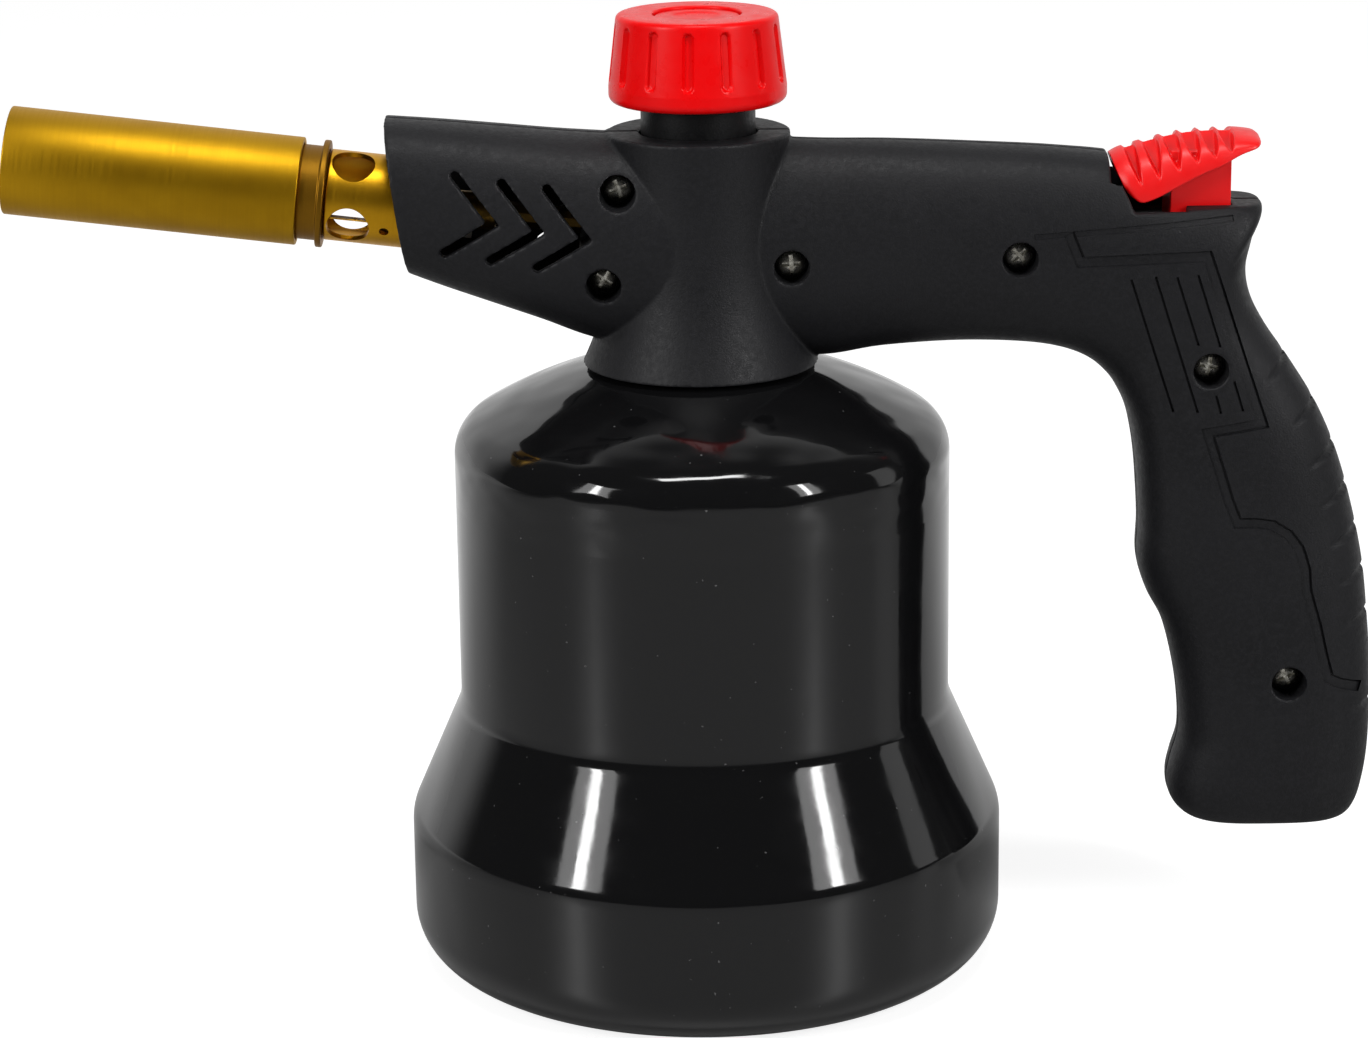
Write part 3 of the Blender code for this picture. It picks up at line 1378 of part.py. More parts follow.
def build_button():
    """Thumb pad with cross grooves, on the stem that slides in the handle."""
    rows = len(PAD_SHARES) - 1
    arch = [math.pi * i / 8 for i in range(9)]
    rings = [[pad_point(row, angle) for angle in arch] for row in range(rows + 1)]
    button = add_object("ignition_button", loft_mesh("ignition_button", rings), PIECES, RED_PLASTIC)
    half = STEM_LENGTH / 2
    low = (trigger_x - half, -STEM_HALF_W, deck_z - STEM_SINK)
    high = (trigger_x + half, STEM_HALF_W, deck_z + STEM_TOP)
    stem = add_cutter("button_stem", box_mesh("button_stem", low, high))
    combine(button, [stem], "UNION")
    grooves = []
    for number, row in enumerate(PAD_GROOVE_ROWS):
        spread = math.acos(PAD_GROOVE_SPAN_SHARE)
        angles = [spread + (math.pi - 2 * spread) * i / 4 for i in range(5)]
        route = [pad_point(row, angle) for angle in angles]
        name = f"pad_groove_{number + 1}"
        grooves.append(add_cutter(name, tube_mesh(name, route, BUTTON_GROOVE_R, 1, 0)))
    shade(combine(button, grooves))


def build_piezo():
    half = PIEZO_LENGTH / 2
    low = (trigger_x - half, -PIEZO_HALF_W, piezo_z)
    high = (trigger_x + half, PIEZO_HALF_W, piezo_top - SEAT_GAP)
    piezo = add_object("piezo_igniter", box_mesh("piezo_igniter", low, high), PIECES, GREY_PLASTIC)
    floor_z = piezo_z + PIEZO_FLOOR
    bore_r = PLUNGER_R + RUN_GAP
    ends = ((trigger_x, 0.0, floor_z), (trigger_x, 0.0, piezo_top + OVERRUN))
    shade(combine(piezo, [rods("piezo_bore", [ends], bore_r, STEPS_SMALL)]))
    plunger_top = deck_z - STEM_SINK - SEAT_GAP
    plunger_z = plunger_top - PLUNGER_L
    profile = [
        (0.0, plunger_top),
        (PLUNGER_R, plunger_top),
        (PLUNGER_R, plunger_z),
        (0.0, plunger_z),
    ]
    plunger = turned("piezo_plunger", profile, STEEL, STEPS_SMALL)
    plunger.location.x = trigger_x
    shade(plunger)
    build_spring(floor_z + SEAT_GAP + SPRING_WIRE_R, plunger_z - SEAT_GAP - SPRING_WIRE_R)


def build_spring(low_z, high_z):
    """Return spring in the piezo's bore, under the plunger."""
    per_turn = 8
    count = SPRING_TURNS * per_turn
    route = []
    for i in range(count + 1):
        turn = 2 * math.pi * i / per_turn
        z = low_z + (high_z - low_z) * i / count
        route.append(
            Vector((trigger_x + SPRING_R * math.cos(turn), SPRING_R * math.sin(turn), z))
        )
    mesh = tube_mesh("piezo_spring", route, SPRING_WIRE_R, 1, 0)
    shade(add_object("piezo_spring", mesh, PIECES, STEEL))


def build_burner(axis):
    tube_end = flange_s + NECK_L - SEAT_GAP
    spigot_s = flange_s - SEAT_GAP
    spigot_bore = SPIGOT_R - TUBE_WALL
    bore = TUBE_R - TUBE_WALL
    tube = [
        (SPIGOT_R, tube_end),
        (SPIGOT_R, spigot_s),
        (TUBE_R, spigot_s),
        (TUBE_R, tube_s),
        (bore, tube_s),
        (bore, spigot_s),
        (spigot_bore, spigot_s),
        (spigot_bore, tube_end),
    ]
    tube = turned("burner_tube", tube, DULL_BRASS, STEPS_BURNER, ring=True, axis=axis)
    shade(combine(tube, burner_tube_holes()))
    neck_bore = NECK_R - NECK_WALL
    collar = [
        (NECK_R, flange_s + NECK_L),
        (NECK_R, flange_s + FLANGE_T),
        (FLANGE_R, flange_s + FLANGE_T),
        (FLANGE_R, flange_s),
        (neck_bore, flange_s),
        (neck_bore, flange_s + NECK_L),
    ]
    shade(turned("burner_collar", collar, DULL_BRASS, STEPS_BURNER, ring=True, axis=axis))
    cup_bore = NECK_R + SEAT_GAP
    cup = [(CUP_R, cup_end_s), (CUP_R, cup_s), (cup_bore, cup_s), (cup_bore, cup_end_s)]
    shade(turned("burner_cup", cup, BRASS, STEPS_BURNER + 4, ring=True, axis=axis))
    build_flame_holder(axis, cup_bore - SEAT_GAP)


def burner_tube_holes():
    """Four air holes and the small fixing hole, each through one wall of the tube."""
    ends = []
    air_s = mouth_s + AIR_HOLE_AHEAD
    reach = TUBE_R + OVERRUN / 4
    for number in range(AIR_HOLES):
        turn = math.radians(AIR_HOLE_PHASE_DEG + 360.0 * number / AIR_HOLES)
        up, side = math.sin(turn), -math.cos(turn)
        near = along_burner(air_s, up * SPIGOT_R / 2, side * SPIGOT_R / 2)
        ends.append((near, along_burner(air_s, up * reach, side * reach)))
    air = rods("air_holes", ends, AIR_HOLE_R, STEPS_VALVE)
    turn = math.radians(AIR_HOLE_PHASE_DEG - 90.0)
    up, side = math.sin(turn), -math.cos(turn)
    pin_s = mouth_s + PIN_HOLE_AHEAD
    near = along_burner(pin_s, up * SPIGOT_R * 0.9, side * SPIGOT_R * 0.9)
    far = along_burner(pin_s, up * reach, side * reach)
    return [air, rods("fixing_hole", [(near, far)], PIN_HOLE_R, 8)]


def build_flame_holder(axis, radius):
    """Ported disc that the flame sits on, inside the cup."""
    front = cup_end_s - FLAME_HOLDER_INSET
    profile = [
        (radius, front),
        (radius, front - FLAME_HOLDER_T),
        (FLAME_BORE_R, front - FLAME_HOLDER_T),
        (FLAME_BORE_R, front),
    ]
    disc = turned("flame_holder", profile, DULL_BRASS, STEPS_BURNER, ring=True, axis=axis)
    ends = []
    for number in range(FLAME_PORTS):
        turn = 2 * math.pi * number / FLAME_PORTS
        up = FLAME_PORT_CIRCLE_R * math.sin(turn)
        side = FLAME_PORT_CIRCLE_R * math.cos(turn)
        back = along_burner(front - FLAME_HOLDER_T - OVERRUN, up, side)
        ends.append((back, along_burner(front + OVERRUN, up, side)))
    shade(combine(disc, [rods("flame_ports", ends, FLAME_PORT_R, 6)]))


def build_gas_line(axis):
    """Gas pipe, the jet holder that carries the tube, and the jet."""
    collar_r = TUBE_R - TUBE_WALL - SEAT_GAP
    flange_front = tube_s - SEAT_GAP
    flange_back = flange_front - HOLDER_FLANGE_T
    spigot_end = flange_back - HOLDER_SPIGOT_L
    jet_bore = JET_R + SEAT_GAP
    jet_back = holder_s - JET_SINK
    pipe_front = flange_back
    profile = [
        (collar_r, holder_s),
        (collar_r, flange_front),
        (HOLDER_FLANGE_R, flange_front),
        (HOLDER_FLANGE_R, flange_back),
        (HOLDER_SPIGOT_R, flange_back),
        (HOLDER_SPIGOT_R, spigot_end),
        (PIPE_R + SEAT_GAP, spigot_end),
        (PIPE_R + SEAT_GAP, pipe_front),
        (PIPE_BORE_R, pipe_front),
        (PIPE_BORE_R, jet_back),
        (jet_bore, jet_back),
        (jet_bore, holder_s),
    ]
    holder = turned("jet_holder", profile, BRASS, STEPS_BURNER, ring=True, axis=axis)
    shade(combine(holder, [electrode_hole()]))
    jet_front = holder_s + JET_STICKS_OUT
    jet = [
        (JET_BORE_R, jet_front),
        (JET_R * 0.6, jet_front),
        (JET_R, holder_s),
        (JET_R, jet_back + SEAT_GAP),
        (JET_BORE_R, jet_back + SEAT_GAP),
    ]
    shade(turned("gas_jet", jet, BRASS, STEPS_SMALL, ring=True, axis=axis))
    pipe_end = pipe_front - SEAT_GAP
    pipe = [
        (PIPE_R, pipe_end),
        (PIPE_R, PIPE_INSET),
        (PIPE_BORE_R, PIPE_INSET),
        (PIPE_BORE_R, pipe_end),
    ]
    shade(turned("gas_pipe", pipe, DULL_BRASS, STEPS_SMALL, ring=True, axis=axis))


def electrode_line():
    turn = math.radians(ELECTRODE_PHASE_DEG)
    return -ELECTRODE_OFFSET * math.cos(turn), ELECTRODE_OFFSET * math.sin(turn)


def electrode_hole():
    up, side = electrode_line()
    back = along_burner(tube_s - HOLDER_FLANGE_T - OVERRUN, up, side)
    front = along_burner(holder_s + OVERRUN, up, side)
    return rods("insulator_hole", [(back, front)], INSULATOR_R + SEAT_GAP, STEPS_SMALL)


def build_electrode(axis):
    up, side = electrode_line()
    rear_s = tube_s - INSULATOR_BEHIND
    bore = ELECTRODE_R + SEAT_GAP
    insulator = [
        (INSULATOR_R, holder_s),
        (INSULATOR_R, rear_s),
        (bore, rear_s),
        (bore, holder_s),
    ]
    rod_end = cup_end_s - FLAME_HOLDER_INSET - FLAME_HOLDER_T - ELECTRODE_SHORT
    rod = [
        (0.0, rod_end),
        (ELECTRODE_R, rod_end),
        (ELECTRODE_R, rear_s + SEAT_GAP),
        (0.0, rear_s + SEAT_GAP),
    ]
    tube = turned("electrode_insulator", insulator, CERAMIC, 10, ring=True, axis=axis)
    spark = turned("spark_electrode", rod, STEEL, 8, axis=axis)
    for piece in (tube, spark):
        piece.location = (up, side, 0.0)
        shade(piece)


def build_leads():
    lead = tube_mesh("ignition_lead", wire_route(), WIRE_R, 1)
    shade(add_object("ignition_lead", lead, PIECES, LEAD_SKIN))
    earth = tube_mesh("earth_lead", earth_route(), EARTH_WIRE_R, 1)
    shade(add_object("earth_lead", earth, PIECES, LEAD_SKIN))


def build_torch():
    axis = add_axis("burner_axis", burner_frame())
    bpy.context.view_layer.update()
    build_canister()
    build_base_cap()
    build_cartridge()
    build_valve()
    build_sleeve()
    build_knob()
    build_burner(axis)
    build_gas_line(axis)
    build_electrode(axis)
    build_leads()
    build_housing()
    build_housing_screws()
    build_button()
    build_piezo()


build_torch()
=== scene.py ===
"""Looks of the gas soldering torch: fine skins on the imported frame, finishes, studio and camera."""

import json
from math import acos, atan2, copysign, cos, degrees, hypot, pi, radians, sin, sqrt, tan

import bmesh
import bpy
from mathutils import Matrix, Vector

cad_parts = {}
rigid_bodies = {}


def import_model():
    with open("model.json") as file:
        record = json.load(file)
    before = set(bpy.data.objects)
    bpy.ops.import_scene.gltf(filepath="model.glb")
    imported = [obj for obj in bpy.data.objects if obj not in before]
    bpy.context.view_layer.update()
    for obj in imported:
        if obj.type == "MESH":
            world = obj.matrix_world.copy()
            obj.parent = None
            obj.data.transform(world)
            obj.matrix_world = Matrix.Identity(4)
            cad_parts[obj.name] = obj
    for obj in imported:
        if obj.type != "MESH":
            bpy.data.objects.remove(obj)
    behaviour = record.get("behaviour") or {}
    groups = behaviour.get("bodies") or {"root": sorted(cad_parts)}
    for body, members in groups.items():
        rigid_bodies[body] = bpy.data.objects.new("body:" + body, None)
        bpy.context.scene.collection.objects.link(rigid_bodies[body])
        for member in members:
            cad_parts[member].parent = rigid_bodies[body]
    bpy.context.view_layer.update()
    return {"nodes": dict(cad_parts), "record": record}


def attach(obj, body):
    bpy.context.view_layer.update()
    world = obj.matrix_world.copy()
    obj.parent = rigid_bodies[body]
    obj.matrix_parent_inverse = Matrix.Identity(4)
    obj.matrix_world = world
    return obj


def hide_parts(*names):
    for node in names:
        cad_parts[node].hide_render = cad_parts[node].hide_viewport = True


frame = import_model()

# Clearances and walls shared by all pieces
SEAT_GAP = 0.0003
RUN_GAP = 0.0003
OVERRUN = 0.004
SMALL_ROUND = 0.0004
MERGE_DISTANCE = 0.0000001
MITRE_LIMIT = 0.3
NEARLY_STRAIGHT_DEG = 88.0

# Canister
CARTRIDGE_R = 0.045
CARTRIDGE_H = 0.094
CARTRIDGE_GAP = 0.00085
MOUTH_GAP = 0.001
CANISTER_WALL = 0.0012
FLARE_OUT = 0.01005
FLARE_RISE = 0.0229
FLARE_ROUND = 0.009
FOOT_BAND_H = 0.0292
FOOT_ROUND = 0.0105
SHOULDER_ROUND = 0.00835
SHOULDER_DROP = 0.00416
CROWN_R = 0.0835
HEAD_SEAT_R = 0.0195

# Base cap
BASE_CAP_GAP = 0.0006
BASE_CAP_H = 0.009
BASE_CAP_PLATE = 0.002
BASE_CAP_RIM = 0.0032
BASE_CAP_LIFT = 0.0005
BASE_CAP_ROUND = 0.0006
BASE_BAR_W = 0.012
BASE_LUG_REACH = 0.003
BASE_LUG_H = 0.0024
BASE_LUG_LIFT = 0.0014
BASE_LUG_COUNT = 3
BASE_LUG_DEG = 24.0
BASE_NOTCH_DEG = 30.0
BASE_TURN_DEG = 40.0
PAD_THICKNESS = 0.0009

# Valve room and sleeve
STEM_R = 0.0095
COLLAR_R = 0.0125
COLLAR_H = 0.003
COLLAR_BELOW_AXIS = 0.0112
BLOCK_R = 0.008
BLOCK_ABOVE_AXIS = 0.0085
VALVE_NECK_R = 0.0065
SPINDLE_R = 0.003
SLEEVE_R = 0.0107
SLEEVE_BORE_R = 0.0083
SLEEVE_SINK = 0.0035
SLEEVE_INSIDE_KNOB = 0.003

# Valve knob
KNOB_LIFT = 0.0056
KNOB_H = 0.0163
KNOB_SKIRT_R = 0.0166
KNOB_TOP_R = 0.015
KNOB_SKIRT_ROUND = 0.0028
KNOB_TOP_ROUND = 0.001
KNOB_SIDE_ROUND = 0.002
KNOB_SKIRT_H = 0.003
KNOB_CAVITY_R = 0.013
KNOB_CAVITY_H = 0.0096
KNOB_HUB_R = 0.0062
KNOB_HUB_LIFT = 0.0012
KNOB_WEB = 0.0012
KNOB_CAP_R = 0.008
KNOB_CAP_SINK = 0.0022
KNOB_CAP_H = 0.0014
KNOB_DISH_R = 0.0047
KNOB_DISH_DEPTH = 0.0005
KNOB_GROOVES = 14
KNOB_GROOVE_R = 0.00095
KNOB_GROOVE_DEPTH = 0.0008
KNOB_GROOVE_WALL = 0.00025
KNOB_GROOVE_SLOPE = 1.6
KNOB_GROOVE_BOTTOM = 0.005
KNOB_GROOVE_TOP = 0.0026
KNOB_GROOVE_PHASE_DEG = -6.5
KNOB_SCREW_HEAD_R = 0.0028
KNOB_SCREW_HEAD_H = 0.002
KNOB_SCREW_R = 0.0013

# Head: a waisted column, a nose shroud and a pistol grip
COLUMN_H = 0.0443
COLUMN_FOOT_R = 0.0223
COLUMN_WAIST_R = 0.0165
COLUMN_TOP_R = 0.0172
COLUMN_WAIST_SHARE = 0.6
COLUMN_FLARE_POWER = 2.2
NOSE_REACH = 0.0582
NOSE_HALF_T = 0.0159
NOSE_WALL = 0.0022
HANDLE_REACH = 0.1285
HANDLE_HALF_T = 0.0135
GRIP_DROP = 0.0906
PARTING_GAP = 0.0003
NUT_ROOM_R = 0.0168
NUT_ROOM_H = 0.0078
BURNER_AXIS_SHARE = 0.555
BURNER_TILT_DEG = 7.0

# Rows of the nose: x and height of its lower edge, x and height of its upper edge,
# half thickness and squareness. x is a share of NOSE_REACH, height of COLUMN_H.
NOSE_SHARES = (
    (-0.934, 0.414, -1.001, 1.073, 0.79, 2.5),
    (-0.820, 0.356, -0.816, 1.054, 0.83, 2.5),
    (-0.663, 0.282, -0.636, 1.032, 0.87, 2.5),
    (-0.506, 0.207, -0.464, 1.011, 0.92, 2.4),
    (-0.358, 0.132, -0.292, 0.995, 0.96, 2.4),
    (-0.172, 0.073, -0.137, 0.983, 0.99, 2.4),
    (0.035, 0.054, 0.035, 0.974, 1.00, 2.4),
)

# Rows of the arm and the grip: x and height of the inner edge, x and height of the outer
# edge, half thickness and squareness. x is a share of HANDLE_REACH. Heights above the
# canister's seat are shares of COLUMN_H, and heights below it are shares of GRIP_DROP.
HANDLE_SHARES = (
    (-0.023, 0.054, -0.023, 0.976, 0.92, 2.2),
    (0.093, 0.043, 0.093, 0.968, 0.92, 2.2),
    (0.183, 0.032, 0.183, 0.957, 0.92, 2.2),
    (0.265, 0.069, 0.280, 0.951, 0.92, 2.3),
    (0.374, 0.089, 0.405, 0.933, 0.92, 2.4),
    (0.467, 0.082, 0.521, 0.911, 0.92, 2.5),
    (0.525, 0.058, 0.623, 0.872, 0.93, 2.6),
    (0.567, 0.011, 0.724, 0.763, 0.94, 2.7),
    (0.596, -0.030, 0.813, 0.688, 0.95, 2.8),
    (0.613, -0.067, 0.804, 0.551, 0.95, 2.8),
    (0.626, -0.109, 0.795, 0.415, 0.95, 2.8),
    (0.634, -0.156, 0.803, 0.280, 0.95, 2.8),
    (0.640, -0.211, 0.828, 0.140, 0.96, 2.8),
    (0.644, -0.277, 0.866, -0.009, 0.96, 2.8),
    (0.647, -0.354, 0.905, -0.098, 0.98, 2.8),
    (0.646, -0.432, 0.937, -0.200, 0.99, 2.7),
    (0.660, -0.503, 0.962, -0.316, 0.99, 2.6),
    (0.684, -0.568, 0.981, -0.437, 1.00, 2.6),
    (0.700, -0.647, 0.991, -0.553, 1.00, 2.6),
    (0.711, -0.735, 0.998, -0.663, 1.00, 2.6),
    (0.714, -0.820, 1.000, -0.768, 1.00, 2.6),
    (0.704, -0.877, 0.998, -0.857, 0.99, 2.7),
    (0.698, -0.924, 0.992, -0.919, 0.98, 2.8),
    (0.703, -0.967, 0.983, -0.966, 0.93, 3.0),
    (0.723, -0.996, 0.968, -0.995, 0.84, 3.2),
    (0.755, -1.006, 0.941, -1.006, 0.68, 3.4),
)
NOSE_CAVITY_ROWS = (-0.35, 3.65)

# Notches between the ribs on the back of the grip
NOTCH_ROW_SHARES = (12.75, 13.87, 14.8, 15.6, 16.36, 17.1, 17.92, 19.74)
NOTCH_R = 0.0008
NOTCH_SINK = 0.0004
NOTCH_RUN_OUT = 0.0013
NOTCH_HALF_SWEEP_DEG = 58.0

# Chevron vents in the nose, as shares of NOSE_REACH and COLUMN_H
CHEVRON_SHARES = (
    ((-0.771, 0.869), (-0.655, 0.668), (-0.811, 0.544)),
    ((-0.624, 0.837), (-0.509, 0.634), (-0.665, 0.512)),
    ((-0.481, 0.813), (-0.361, 0.605), (-0.517, 0.483)),
)
CHEVRON_SLOT_W = 0.0017
CHEVRON_INNER_Y = 0.008

# Shallow sunk bands on the sides of the grip: x as a share of HANDLE_REACH and height
# as a share of COLUMN_H above the seat or of GRIP_DROP below it. Each row of points is
# the band's wall, with the band on the right of it.
BAND_W = 0.0021
BAND_DEPTH = 0.00045
LINE_W = 0.00045
LINE_DEPTH = 0.0007
CREASE_W = 0.0011
CREASE_DEPTH = 0.00025
FRAME_BAND_SHARES = (
    (0.538, 0.600), (0.553, 0.494), (0.736, 0.512), (0.747, 0.420),
    (0.768, 0.244), (0.795, 0.011), (0.826, -0.124), (0.747, -0.142),
    (0.763, -0.213), (0.777, -0.276), (0.788, -0.314), (0.811, -0.314),
    (0.837, -0.320), (0.863, -0.343), (0.882, -0.380), (0.893, -0.429),
    (0.895, -0.473), (0.901, -0.502), (0.911, -0.549), (0.921, -0.609),
    (0.931, -0.661), (0.944, -0.671), (0.978, -0.688),
)
STRIPE_SHARES = (
    ((0.622, 0.397), (0.687, -0.087)),
    ((0.657, 0.408), (0.722, -0.088)),
    ((0.688, 0.404), (0.721, 0.110)),
    ((0.748, -0.052), (0.756, -0.091)),
    ((0.718, 0.413), (0.753, 0.099)),
    ((0.774, -0.023), (0.788, -0.087)),
)
CREASE_SHARES = ((0.480, 0.590), (0.606, 0.616), (0.700, 0.634), (0.768, 0.651))

# Housing screws: x as a share of HANDLE_REACH and height as in HANDLE_SHARES
SCREW_SHARES = (
    (-0.117, 0.790), (-0.139, 0.404), (0.132, 0.460), (0.461, 0.483),
    (0.739, -0.002), (0.865, -0.679),
)
SCREW_R = 0.00145
SCREW_L = 0.013
SCREW_HEAD_R = 0.00275
SCREW_HEAD_H = 0.0019
SCREW_SEAT = 0.0065
COUNTERBORE_R = 0.00325
CROSS_W = 0.00075
CROSS_L = 0.0034
CROSS_DEPTH = 0.0013
FIRST_CROSS_DEG = 20.0
NEXT_CROSS_DEG = 37.0

# Ignition button
TRIGGER_X_SHARE = 0.724
DECK_LEVEL_SHARE = 0.659
BUTTON_LENGTH = 0.0268
BUTTON_H = 0.0142
BUTTON_HALF_W = 0.0095
BUTTON_TRAVEL = 0.0045
STEM_LENGTH = 0.0112
STEM_HALF_W = 0.0063
STEM_SINK = 0.004
STEM_TOP = 0.011
POCKET_SINK = 0.0029
POCKET_BEHIND = 0.0006
DECK_CROWN = 0.001
DECK_EDGE_Y = 0.0066
NEAR_WALL_BACK = 0.0007
FAR_WALL_AHEAD = 0.0024
LIP_RISE = 0.0008
PIEZO_LENGTH = 0.009
PIEZO_HALF_W = 0.0055
PIEZO_H = 0.016

# Rows of the thumb pad: x and height of the edge, x and height of the crest, half width,
# as shares of BUTTON_LENGTH from the stem's centre, BUTTON_H above the deck, BUTTON_HALF_W
PAD_SHARES = (
    (-0.470, 0.190, -0.620, 0.690, 0.90),
    (-0.418, 0.141, -0.556, 0.757, 0.98),
    (-0.321, 0.197, -0.444, 0.824, 1.00),
    (-0.198, 0.317, -0.280, 0.908, 1.00),
    (-0.030, 0.486, -0.112, 0.972, 0.99),
    (0.131, 0.613, 0.075, 1.000, 0.95),
    (0.261, 0.739, 0.243, 0.993, 0.88),
    (0.370, 0.810, 0.374, 0.958, 0.80),
    (0.402, 0.840, 0.418, 0.915, 0.66),
)
PAD_SCOOP_ROWS = (1.66, 2.62, 3.45, 4.2, 4.9, 5.6)
PAD_RISE_POWER = 0.8
PAD_LEAN_POWER = 0.5
PAD_BULGE_ROOM = 0.0012
PAD_SCOOP_DEPTH = 0.0022
PAD_SCOOP_HALF_ROW = 0.35
PAD_SCOOP_HALF_DEG = 82.0
PAD_SCOOP_WALL = 0.4
PAD_SCOOP_TAPER = 2.4
PAD_SCOOP_AT_CREST = 0.18

# Burner, measured along its axis from the nose's mouth
MOUTH_ROW_SHARE = 0.972
PIN_HOLE_AHEAD = 0.0015
PIN_HOLE_R = 0.0009
AIR_HOLE_AHEAD = 0.0083
AIR_HOLE_R = 0.004
AIR_HOLE_DEGS = (58.0, -32.0, 213.0)
TUBE_R = 0.0085
TUBE_WALL = 0.001
TUBE_BEHIND = 0.0065
FLANGE_AHEAD = 0.0131
FLANGE_R = 0.01005
FLANGE_T = 0.0012
NECK_R = 0.00885
NECK_WALL = 0.00095
NECK_L = 0.0103
SPIGOT_R = 0.0076
CUP_AHEAD = 0.018
CUP_R = 0.0101
CUP_L = 0.0546
FLAME_HOLDER_INSET = 0.014
FLAME_HOLDER_T = 0.004
FLAME_BORE_R = 0.0042
FLAME_PORT_R = 0.0011
FLAME_PORTS = 8
FLAME_PORT_CIRCLE_R = 0.0066
HOLDER_FLANGE_T = 0.0025
HOLDER_FLANGE_R = 0.0083
HOLDER_SPIGOT_R = 0.0034
HOLDER_SPIGOT_L = 0.0095
JET_R = 0.0021
JET_BORE_R = 0.0004
JET_STICKS_OUT = 0.0018
JET_SINK = 0.0075
PIPE_R = 0.0024
PIPE_BORE_R = 0.0012
PIPE_PASSAGE_GAP = 0.0006
ELECTRODE_OFFSET = 0.005
ELECTRODE_PHASE_DEG = 22.0
INSULATOR_R = 0.00125

# How finely round things are divided
STEPS_CANISTER = 192
STEPS_COLUMN = 128
STEPS_CAP = 144
STEPS_CUP = 160
STEPS_BURNER = 96
STEPS_SMALL = 40
STEPS_GROOVE = 32
PAD_STEPS = 24
PAD_ARCH_STEPS = 80
STEPS_BORE = 64
STEPS_PIN = 32
STEPS_PORT = 24
SLOT_END_STEPS = 10
SECTOR_STEPS = 8
NOTCH_STEPS = 24
COLUMN_ROWS = 40
OUTSIDE_STEPS = (24, 16)
INSIDE_STEPS = (6, 6)
RING_POINTS = 96
ROW_STEPS = 6
EDGE_EASE = 0.00025
KNOB_FINE_STEP = 0.0003
HOUSING_VOXEL = 0.00034
HOUSING_KEEP = 0.28
BUTTON_VOXEL = 0.00017
BUTTON_KEEP = 0.45

# Sizes worked out from the ones above
canister_r = CARTRIDGE_R + CARTRIDGE_GAP + CANISTER_WALL
foot_r = canister_r + FLARE_OUT
mouth_r = CARTRIDGE_R + MOUTH_GAP
foot_round = min(FOOT_ROUND, foot_r - mouth_r)
base_cap_r = mouth_r - BASE_CAP_GAP
cartridge_top = BASE_CAP_H + SEAT_GAP + PAD_THICKNESS + SEAT_GAP + CARTRIDGE_H
shoulder_z = cartridge_top - SHOULDER_DROP
crown_reach = CROWN_R - SHOULDER_ROUND
crown_z = shoulder_z - sqrt(crown_reach**2 - (canister_r - SHOULDER_ROUND) ** 2)
seat_z = crown_z + sqrt(CROWN_R**2 - HEAD_SEAT_R**2)
column_top = seat_z + COLUMN_H
axis_z = seat_z + BURNER_AXIS_SHARE * COLUMN_H
knob_z = column_top + KNOB_LIFT
knob_top = knob_z + KNOB_H
tilt = radians(BURNER_TILT_DEG)
mouth_s = MOUTH_ROW_SHARE * NOSE_REACH / cos(tilt)
holder_s = mouth_s + AIR_HOLE_AHEAD - AIR_HOLE_R - SEAT_GAP
tube_s = mouth_s - TUBE_BEHIND
flange_s = mouth_s + FLANGE_AHEAD
cup_s = mouth_s + CUP_AHEAD
cup_end_s = cup_s + CUP_L
trigger_x = TRIGGER_X_SHARE * HANDLE_REACH
deck_z = seat_z + DECK_LEVEL_SHARE * COLUMN_H
piezo_top = deck_z - STEM_SINK - BUTTON_TRAVEL - SEAT_GAP
piezo_z = piezo_top - PIEZO_H


def new_collection(name):
    collection = bpy.data.collections.new(name)
    bpy.context.scene.collection.children.link(collection)
    return collection


PIECES = new_collection("torch_skin")
SCRATCH = new_collection("cutters")
STUDIO = new_collection("studio")


def add_object(name, data, collection=SCRATCH):
    obj = bpy.data.objects.new(name, data)
    collection.objects.link(obj)
    return obj


def solid(bm, name, collection=SCRATCH):
    """An object from a finished bmesh."""
    bmesh.ops.recalc_face_normals(bm, faces=bm.faces)
    mesh = bpy.data.meshes.new(name)
    bm.to_mesh(mesh)
    bm.free()
    return add_object(name, mesh, collection)


def as_piece(obj, smooth_deg=35.0):
    """Moves a finished solid from the cutters to the torch, and shades it."""
    SCRATCH.objects.unlink(obj)
    PIECES.objects.link(obj)
    obj.data.shade_smooth()
    obj.data.set_sharp_from_angle(angle=radians(smooth_deg))
    return obj


def remove_cutters():
    for obj in list(SCRATCH.objects):
        bpy.data.objects.remove(obj, do_unlink=True)
    bpy.data.collections.remove(SCRATCH)


def evaluated_mesh(obj):
    graph = bpy.context.evaluated_depsgraph_get()
    return bpy.data.meshes.new_from_object(obj.evaluated_get(graph))


def modify(obj, kind, **settings):
    step = obj.modifiers.new(kind.lower(), kind)
    for key, value in settings.items():
        setattr(step, key, value)


def apply_modifiers(obj):
    """Keeps the evaluated mesh, so that later steps start from it."""
    mesh = evaluated_mesh(obj)
    obj.modifiers.clear()
    obj.data = mesh
    return obj


def combine(obj, others, operation="DIFFERENCE"):
    for other in others:
        modify(obj, "BOOLEAN", operation=operation, solver="MANIFOLD", object=other)
    return apply_modifiers(obj)


def soften(obj, voxel, passes, keep, late_cuts=()):
    """Melts hard edges into small radii, then thins out the flat areas."""
    modify(obj, "REMESH", mode="VOXEL", voxel_size=voxel, adaptivity=0.0)
    modify(obj, "SMOOTH", factor=0.5, iterations=passes)
    for cutter in late_cuts:
        modify(obj, "BOOLEAN", solver="MANIFOLD", object=cutter)
    modify(obj, "DECIMATE", ratio=keep)
    return apply_modifiers(obj)


